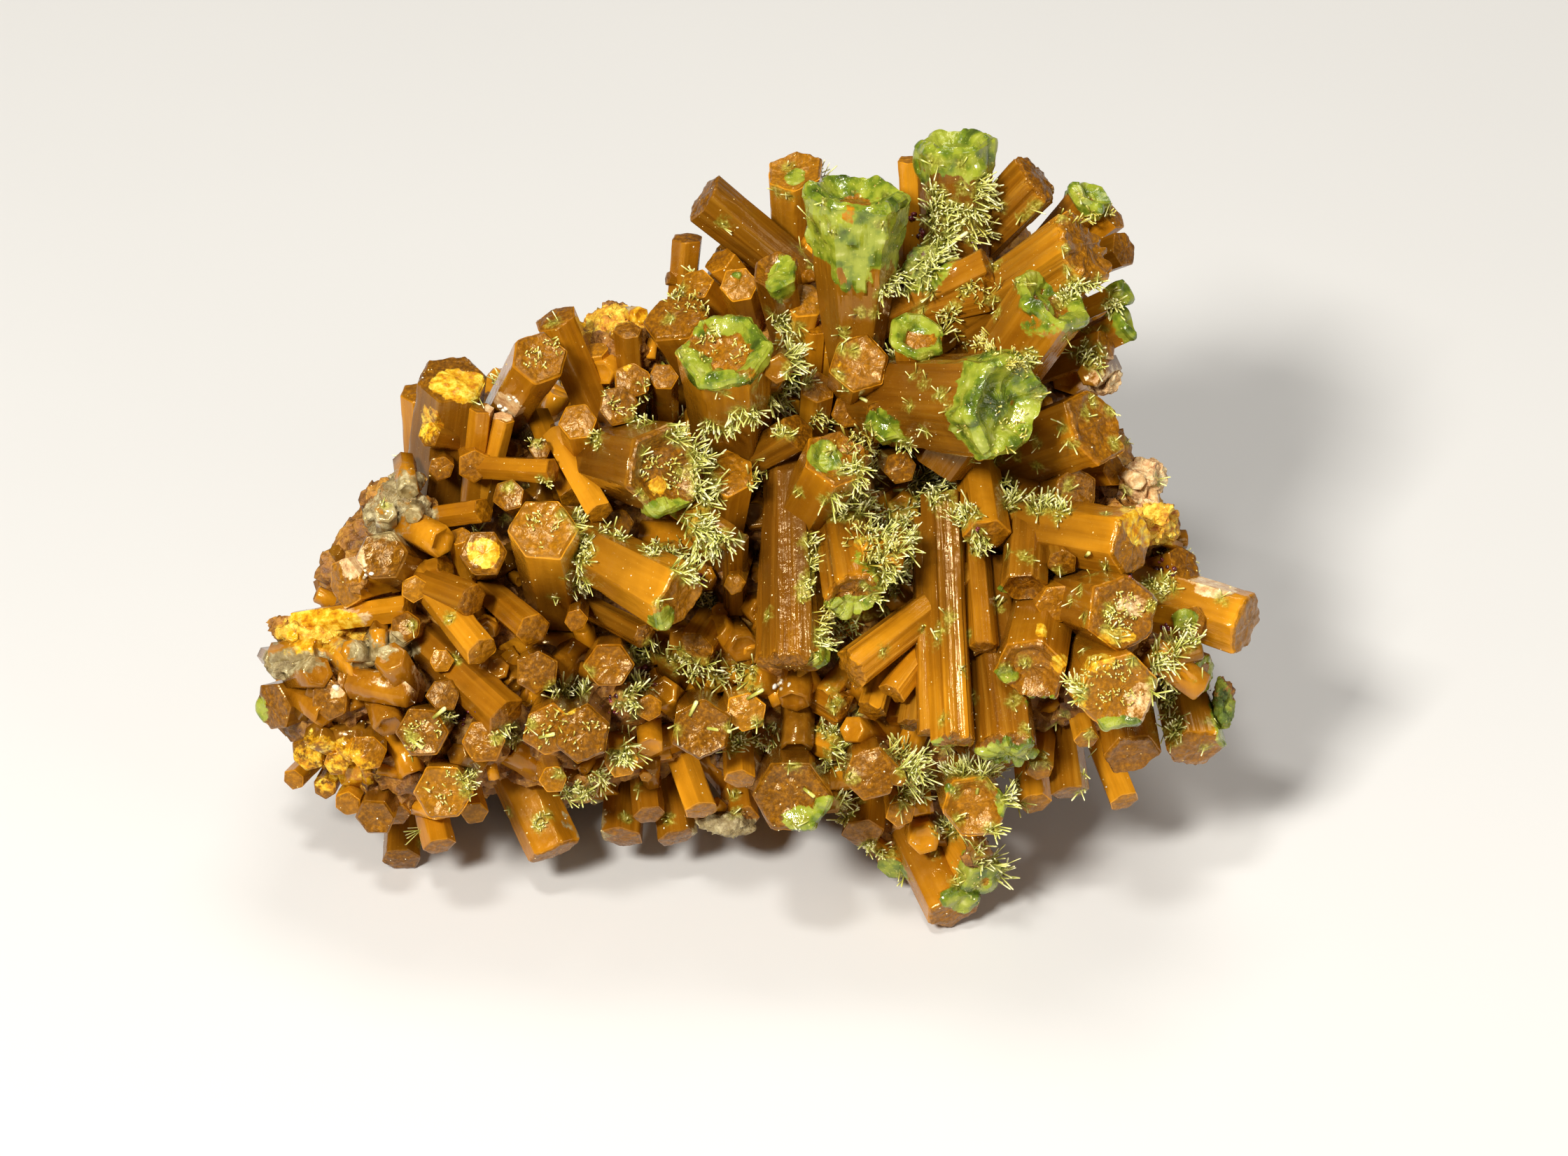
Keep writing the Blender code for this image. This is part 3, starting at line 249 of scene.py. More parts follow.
EAST_LOBE = (
    ((10.7, -0.4, 8.4), 1.15, 1.00, 7.5, (-0.08, -0.74), 4, "rim"),
    ((12.4, 0.7, 8.4), 0.74, 0.65, 5.5, (0.06, -0.50), 23, "plain"),
    ((15.5, 1.5, 8.8), 1.58, 1.35, 9.0, (0.80, -0.14), 16, "flat"),
    ((11.0, -4.1, 9.6), 1.74, 1.50, 8.5, (-0.14, -0.60), 9, "rim"),
    ((12.2, -1.2, 8.8), 0.95, 0.80, 6.5, (0.10, -0.20), 3, "plain"),
    ((14.9, -5.1, 12.2), 1.95, 1.50, 9.5, (0.14, -0.24), 13, "pitted"),
    ((15.2, -1.6, 11.6), 1.86, 1.45, 9.5, (0.34, -0.10), 21, "pitted"),
    ((20.6, -2.0, 6.0), 1.55, 1.35, 9.5, (0.90, -0.30), 8, "flat"),
    ((18.7, -4.2, 5.8), 0.95, 0.85, 7.0, (0.80, -0.34), 18, "flat"),
    ((18.4, -7.6, 5.0), 1.52, 1.35, 8.5, (0.16, -0.84), 3, "flat"),
    ((15.5, -7.9, 6.2), 1.38, 1.20, 7.5, (0.08, -0.78), 2, "pitted"),
    ((12.8, -9.6, 4.0), 0.92, 0.85, 7.5, (0.10, -0.90), 6, "flat"),
    ((13.5, -7.2, 6.2), 0.60, 0.55, 5.5, (0.12, -0.60), 2, "plain"),
    ((11.4, -8.6, 5.2), 0.66, 0.60, 5.5, (-0.10, -0.60), 15, "plain"),
    ((15.2, -10.0, 1.4), 0.74, 0.70, 7.0, (0.30, -0.80), 8, "plain"),
    ((11.2, -10.1, 1.2), 0.80, 0.75, 6.5, (0.05, -0.80), 7, "plain"),
    ((17.9, 0.6, 5.2), 1.00, 0.90, 6.5, (0.70, 0.20), 26, "plain"),
    ((18.2, -2.0, 7.4), 0.85, 0.75, 6.0, (0.50, -0.10), 12, "plain"),
    ((14.8, 4.8, 4.6), 0.80, 0.75, 5.5, (0.70, 0.05), 4, "plain"),
)

# Lumps of matrix: (across, up, out) of the middle, then half its size the same three ways.
MATRIX = (
    ((0.0, 1.6, -3.0), (14.5, 9.8, 8.0)),
    ((7.4, 9.4, -1.0), (7.0, 7.0, 6.6)),
    ((1.0, 10.6, -1.6), (5.6, 4.6, 5.4)),
    ((-14.4, -2.8, -2.2), (6.6, 8.0, 7.2)),
    ((-13.0, 4.8, -1.0), (4.0, 3.6, 4.4)),
    ((12.4, -1.2, -0.4), (6.2, 7.2, 7.2)),
    ((-9.0, -5.4, -2.0), (8.6, 5.0, 6.2)),
    ((3.6, -5.6, -1.2), (8.6, 5.0, 6.4)),
    ((6.0, -9.4, -2.6), (3.4, 3.8, 3.6)),
    ((-6.0, -0.8, -11.0), (9.6, 7.4, 6.2)),
    ((6.6, 0.2, -10.4), (8.6, 7.6, 6.6)),
    ((4.0, 7.6, -8.4), (6.8, 5.4, 5.0)),
    ((0.5, -2.6, -14.0), (7.0, 6.0, 4.4)),
    ((-19.4, -4.8, -0.2), (3.2, 3.8, 3.8)),
    ((-17.2, -8.6, -0.6), (3.0, 2.2, 3.2)),
)
MATRIX_POINTS = 22
MATRIX_ROUGHNESS = 0.17

# Smaller knobs of quartz and crust that stand out of the matrix.
CRUSTS = (
    ((-17.3, 2.8, 4.6), (1.8, 1.5, 1.6)),
    ((-16.9, 4.3, 4.4), (0.9, 0.7, 1.0)),
    ((-21.0, -2.4, 2.2), (2.2, 1.1, 2.0)),
    ((-21.9, -3.8, 2.6), (1.3, 1.0, 1.4)),
    ((-18.0, -3.3, 3.4), (1.6, 1.0, 2.8)),
    ((-17.4, -4.7, 3.4), (1.6, 0.9, 2.8)),
    ((-18.9, -0.4, 4.8), (0.6, 0.5, 1.6)),
    ((-7.2, 10.2, 1.6), (2.4, 2.0, 4.4)),
    ((16.5, 2.4, 5.0), (1.5, 1.2, 2.2)),
    ((16.0, 4.4, 3.6), (1.1, 1.2, 2.0)),
    ((14.3, 8.9, 4.6), (0.9, 0.9, 1.4)),
    ((-2.6, -10.8, -0.8), (1.5, 0.9, 1.6)),
    ((19.6, -5.6, 4.4), (0.6, 1.3, 1.4)),
)
CRUST_POINTS = 16

# Tufts of needle crystals, low lumps that the needles fill: middle, radius.
TUFTS = (
    ((0.1, 9.6, 9.4), 1.00),
    ((-3.8, 3.0, 9.2), 1.10),
    ((5.6, -8.6, 7.0), 1.10),
    ((8.6, -12.4, 2.6), 1.10),
    ((4.6, 1.4, 8.6), 1.25),
    ((6.2, 13.9, 6.6), 1.60),
    ((-9.2, -9.5, 3.2), 1.20),
    ((16.7, -3.4, 8.0), 1.50),
    ((-7.1, -5.4, 6.6), 1.20),
)
TUFT_POINTS = 10

# What the specimen covers seen square on to its crystal face, as corners (across, up).
OUTLINE = (
    (-17.6, 5.2), (-16.4, 9.4), (-12.4, 10.7), (-10.6, 12.0), (-9.4, 12.0), (-8.6, 11.2),
    (-5.8, 12.5), (-4.9, 15.4), (-3.8, 15.5), (-4.0, 17.6), (-2.2, 17.8), (-0.4, 19.1),
    (1.2, 19.2), (5.2, 18.2), (6.2, 19.6), (8.6, 20.0), (9.4, 18.2), (12.1, 19.1),
    (14.4, 17.5), (16.0, 14.4), (15.8, 11.6), (14.9, 8.2), (15.2, 6.2), (17.1, 3.4),
    (21.6, -1.2), (21.3, -3.1), (19.8, -5.2), (19.2, -8.6), (15.9, -10.2), (10.3, -10.4),
    (9.6, -14.2), (6.9, -16.0), (3.8, -12.5), (-0.6, -11.5), (-7.5, -12.1), (-11.0, -13.3),
    (-13.6, -11.0), (-17.0, -13.4), (-18.9, -11.5), (-22.6, -8.8), (-24.0, -6.2),
    (-23.0, -2.0), (-20.8, 0.8),
)

# Crystals on the sides and back, which grow square to the matrix there.
BACK_SEED = 7
BACK_COUNT = 36
BACK_CENTRE = (0.0, 1.6, -5.0)
BACK_HALF = (16.0, 11.5, 10.5)
BACK_RADIUS = (0.95, 1.80)
BACK_TAPER = 0.88
BACK_LENGTH = 7.0
BACK_PROUD = (0.4, 2.6)
# They are spread from this far forwards, as a share of the half depth, over this much of it.
BACK_FROM = 0.30
BACK_SPAN = 1.25
# Each leans off square by up to this many millimetres at this distance.
BACK_SCATTER = 0.22
BACK_SCATTER_REACH = 12.0
# None points lower than this, as the sine of its angle to the table.
BACK_LOWEST = -0.75
FOOT_CLEARANCE = 2.6

# Seeds of the random draws, as the solid has them.
FACE_SEED = 3
MATRIX_SEED = 11
TUFT_SEED = 5

# The frame that the face fills: its width in millimetres where it is sharp, and the sensor.
FRAME_WIDTH = 70.0
FRAME_SENSOR = 36.0

# Lights, in metres and watts: name, place, size, power, colour. All are aimed at one place.
LIGHT_AIM = (0.0, 0.0, 0.014)
LIGHTS = (
    ("key", (-0.13, -0.26, 0.30), (0.075, 0.055), 2.00, (1.0, 0.98, 0.94)),
    ("fill", (0.30, -0.22, 0.18), (0.20, 0.20), 0.30, (1.0, 0.97, 0.93)),
    ("glint", (-0.05, -0.15, 0.36), (0.045, 0.035), 0.50, (1.0, 0.99, 0.97)),
    ("top", (0.05, 0.10, 0.38), (0.20, 0.14), 0.45, (1.0, 0.97, 0.92)),
)
WORLD_COLOUR = (1.0, 0.98, 0.95, 1.0)
WORLD_STRENGTH = 0.10

# Detail beyond the solid. Corners a side and rings of each size of crystal blank, with the places of
# the rings over its end as shares of the radius.
LARGE_BLANK = (13, 24, (1.0, 0.97, 0.93, 0.885, 0.81, 0.70, 0.58, 0.49, 0.38, 0.25, 0.12, 0.0))
MEDIUM_BLANK = (9, 16, (1.0, 0.95, 0.885, 0.76, 0.60, 0.47, 0.31, 0.15, 0.0))
SMALL_BLANK = (5, 9, (1.0, 0.94, 0.885, 0.66, 0.47, 0.24, 0.0))
# The rings of an end turn from six-sided to round towards the middle: size against the six-sided
# ones, and the shares of the radius where the change begins and over which it runs.
ROUND_END = 0.93
ROUND_FROM = 0.86
ROUND_FADE = 0.46
# Crystals of these radii and over take the large and the medium blank, and so do strong ribs.
LARGE_FROM = 1.35
MEDIUM_FROM = 0.85
RIBS_FROM = 0.7
# Rings down a blank crowd towards the end by this power.
RING_CROWDING = 1.6
# Columns of corners are drawn this far towards the prism's edges, as a share of a side.
EDGE_DRAW = 0.055
# The edges are taken off by this share of the radius, over this share of a side.
EDGE_BEVEL = 0.012
EDGE_WIDTH = 0.04
# Ribs, fine ribs, a slow swell and chips out of the edges: how fast each changes across and along a
# prism, and how deep it cuts as a share of the radius.
RIB_GRAIN = (3.4, 3.4, 0.10)
RIB_CUT = 0.095
FINE_RIB_GRAIN = (8.0, 8.0, 0.22)
FINE_RIB_CUT = 0.035
SWELL_GRAIN = (0.7, 0.7, 0.35)
SWELL_CUT = 0.018
CHIP_GRAIN = (1.5, 1.5, 1.5)
CHIP_CUT = 0.05
CHIP_WIDTH = 0.10
# Shares of the radius, inwards from the rim, where the chamfer ends and where the hollow is deepest,
# and what is left of the hollow's depth in its middle.
CHAMFER_WIDTH = 0.115
HOLLOW_AT = 0.53
HOLLOW_MIDDLE = 0.85
# How far the rings of an end stray, and how coarse its grit is, at most and by its radius.
END_WANDER = 0.22
END_GRIT = 0.26
END_GRIT_BY_RADIUS = 0.16
# How far the rim of a smooth and of a ribbed prism is broken down.
BROKEN_RIM = 0.05
BROKEN_RIBS = 0.26
# Thick crystals are painted this much darker below their rims, added to the painted shade towards the
# root.
THICK_DEPTH = 0.34
# Length of prism, in millimetres, over which the painted shade towards the root deepens fully.
ROOT_SHADE_LENGTH = 8.0
# The green swells its crystal by this much, and by this much more over its lumps.
GREEN_COAT = 0.02
GREEN_LUMPS = 0.60
# Weights of the crags, ledges, pits and grit in the relief of the rock, and how many ledges.
CRAG_LIFT = 1.1
LEDGE_LIFT = 2.6
PIT_LIFT = 1.5
LEDGES = 9.0
# Smooth shading holds up to these angles between faces, on crystals and on rock.
CRYSTAL_CREASE = 22.0
ROCK_CREASE = 30.0

# How strongly each group is ribbed along its prisms, and a few crystals that differ.
RIBS = {
    "crown": 0.30,
    "upper": 0.22,
    "left": 0.16,
    "west": 0.16,
    "lower": 0.22,
    "fan": 0.85,
    "east": 0.30,
    "back": 0.25,
}
OWN_RIBS = {
    ("crown", 3): 0.80,
    ("crown", 6): 0.95,
    ("crown", 7): 0.80,
    ("crown", 8): 0.80,
    ("upper", 1): 0.45,
    ("upper", 5): 0.40,
    ("fan", 0): 1.00,
    ("fan", 8): 1.25,
    ("fan", 10): 0.90,
}

# Where green grew over the crystals: middle (across, up, out), half size, strength.
GREEN = (
    ((14.1, 17.5, 3.0), (0.9, 0.8, 1.2), 1.0),
    ((11.6, 11.2, 10.8), (1.1, 0.45, 1.8), 0.50),
    ((15.1, 15.8, 8.6), (0.7, 0.6, 1.2), 0.9),
    ((-0.1, 13.5, 8.6), (0.65, 1.35, 1.6), 1.0),
    ((-2.1, 13.6, 6.6), (0.45, 0.35, 0.7), 0.9),
    ((0.5, 18.0, 1.8), (0.55, 0.5, 0.9), 0.7),
    ((-3.9, 9.4, 11.8), (0.9, 0.9, 1.6), 1.0),
    ((6.0, 11.4, 9.4), (1.25, 0.55, 1.6), 1.0),
    ((4.4, 6.6, 9.0), (0.95, 0.95, 1.4), 1.0),
    ((1.9, 5.5, 10.1), (0.85, 0.8, 1.2), 1.0),
    ((-5.3, 2.9, 10.8), (1.25, 0.65, 1.9), 1.0),
    ((-5.5, -1.7, 10.4), (0.65, 0.6, 1.1), 0.8),
    ((3.4, -1.3, 9.4), (1.7, 0.6, 2.2), 1.0),
    ((1.8, -3.6, 8.8), (0.6, 0.65, 1.3), 0.8),
    ((9.5, -0.9, 8.6), (0.5, 0.6, 1.2), 1.0),
    ((9.9, -4.3, 9.8), (0.75, 0.42, 1.6), 0.6),
    ((11.5, -5.6, 9.8), (1.2, 0.45, 1.8), 0.7),
    ((15.0, -6.7, 12.2), (1.1, 0.55, 1.8), 0.9),
    ((10.0, -7.9, 8.2), (1.7, 0.42, 2.2), 0.9),
    ((7.6, -7.7, 9.0), (1.3, 0.25, 1.6), 0.45),
    ((0.9, -10.8, 7.6), (1.1, 0.6, 1.4), 0.95),
    ((1.9, -10.2, 7.4), (0.55, 0.55, 1.0), 0.9),
    ((7.2, -9.4, 7.4), (0.55, 0.40, 1.2), 0.8),
    ((9.9, -9.9, 7.0), (0.45, 0.90, 1.4), 0.8),
    ((7.9, -14.3, 1.2), (0.9, 0.6, 1.5), 0.9),
    ((19.4, -4.5, 6.0), (0.65, 0.6, 1.2), 1.0),
    ((19.6, -6.2, 4.8), (0.7, 1.3, 1.6), 0.7),
    ((17.9, -1.9, 7.6), (0.6, 0.5, 1.1), 0.9),
    ((-15.0, -11.1, 4.8), (0.45, 0.35, 0.8), 0.9),
    ((-23.5, -6.0, 2.2), (0.5, 0.9, 1.5), 0.7),
    ((4.7, -13.2, -0.4), (0.9, 0.7, 1.2), 0.8),
    ((6.1, 14.0, 6.6), (1.8, 1.5, 2.2), 0.6),
    ((4.4, 0.6, 8.9), (1.5, 1.5, 1.6), 0.5),
    ((8.4, 10.2, 12.6), (1.2, 0.6, 1.4), 0.6),
)
# Crystals whose whole end is green: how far down the green reaches, and the share of the end's
# width in the middle that stayed ochre.
END_COATS = {
    ("crown", 0): (3.3, 0.42),
    ("crown", 1): (1.35, 0.0),
    ("crown", 4): (0.7, 0.3),
    ("crown", 9): (0.55, 0.0),
    ("crown", 10): (0.7, 0.0),
    ("crown", 11): (0.6, 0.2),
    ("upper", 0): (0.45, 0.52),
    ("upper", 1): (1.3, 0.0),
    ("upper", 2): (0.35, 0.55),
    ("fan", 8): (0.15, 0.6),
    ("fan", 10): (0.22, 0.55),
    ("lower", 22): (1.2, 0.25),
    ("east", 8): (0.25, 0.6),
}
# Places that stayed ochre, and places with yellow, pale and grey crusts, given the same way.
BARE = (
    ((3.5, 17.1, 10.4), (1.25, 0.50, 2.2), 0.85),
    ((2.9, 16.3, 11.4), (0.35, 0.45, 1.2), 0.7),
    ((-1.6, 9.1, 12.0), (0.5, 0.3, 0.8), 0.6),
    ((9.2, -13.9, 2.6), (0.5, 0.4, 0.8), 0.7),
)
YELLOW = (
    ((-14.4, 8.7, 5.4), (1.3, 0.8, 1.6), 1.0),
    ((-15.8, 6.8, 5.0), (0.6, 0.9, 1.2), 0.5),
    ((-7.4, 11.6, 3.0), (1.8, 0.7, 3.5), 0.9),
    ((16.5, 2.4, 7.5), (2.0, 1.1, 3.2), 1.0),
    ((-13.4, 1.1, 7.8), (0.8, 0.8, 1.1), 0.95),
    ((-20.6, -2.3, 3.8), (2.3, 1.0, 2.8), 0.8),
    ((-20.3, -8.4, 2.6), (2.4, 1.6, 3.2), 0.45),
    ((11.5, -2.3, 10.2), (0.35, 0.4, 0.9), 0.8),
    ((12.3, -3.8, 9.8), (0.4, 0.45, 0.9), 0.8),
    ((2.6, 9.6, 9.4), (0.35, 0.35, 0.6), 0.9),
    ((14.0, -3.7, 12.4), (0.9, 0.5, 1.2), 0.6),
    ((13.2, -5.2, 12.2), (0.5, 0.9, 1.2), 0.6),
    ((14.9, -2.6, 11.8), (0.9, 0.4, 1.2), 0.6),
    ((-5.5, 4.1, 11.2), (0.6, 0.45, 0.9), 0.8),
    ((3.5, 1.9, 9.5), (0.5, 0.35, 1.0), 0.7),
    ((-2.7, 9.0, 11.8), (0.7, 0.35, 0.9), 0.6),
    ((10.9, 6.6, 13.8), (0.9, 0.6, 1.2), 0.6),
    ((11.0, 9.0, 13.2), (0.9, 0.6, 1.2), 0.5),
    ((-6.9, 9.5, 8.6), (0.4, 0.3, 0.7), 0.7),
    ((-1.2, 13.7, 7.0), (0.4, 0.3, 0.8), 0.6),
    ((-9.7, -5.9, 8.2), (0.5, 0.3, 0.8), 0.5),
)
PALE = (
    ((16.3, 4.4, 4.8), (1.2, 1.3, 2.4), 0.9),
    ((14.3, 8.9, 5.2), (1.0, 1.0, 1.8), 0.9),
    ((19.3, -0.2, 6.0), (1.1, 0.8, 1.8), 0.8),
    ((-12.4, 7.7, 5.9), (0.9, 0.7, 1.2), 0.8),
    ((-19.3, 0.8, 6.0), (0.7, 1.0, 1.8), 0.7),
    ((-17.4, -4.7, 4.6), (1.6, 0.8, 2.4), 0.9),
    ((-19.4, -1.9, 4.4), (1.0, 0.6, 1.6), 0.8),
    ((-20.0, -5.1, 4.8), (0.4, 0.35, 0.8), 0.9),
    ((16.0, -5.6, 12.0), (0.8, 0.9, 1.4), 0.5),
    ((15.6, -1.2, 12.0), (0.8, 0.6, 1.4), 0.5),
    ((10.2, -8.6, 4.0), (0.8, 0.6, 2.0), 0.5),
)
GREY = (
    ((-21.8, -3.7, 3.2), (1.5, 1.1, 2.0), 0.9),
    ((-18.0, -3.2, 4.8), (1.7, 0.9, 2.6), 0.95),
    ((-17.0, 4.3, 5.2), (1.0, 0.8, 1.5), 0.7),
    ((-17.3, 2.8, 5.8), (1.9, 1.4, 2.2), 0.6),
    ((-2.6, -11.3, -0.2), (1.6, 0.9, 2.0), 0.8),
    ((-9.0, -11.0, -3.0), (3.0, 1.2, 3.0), 0.6),
)

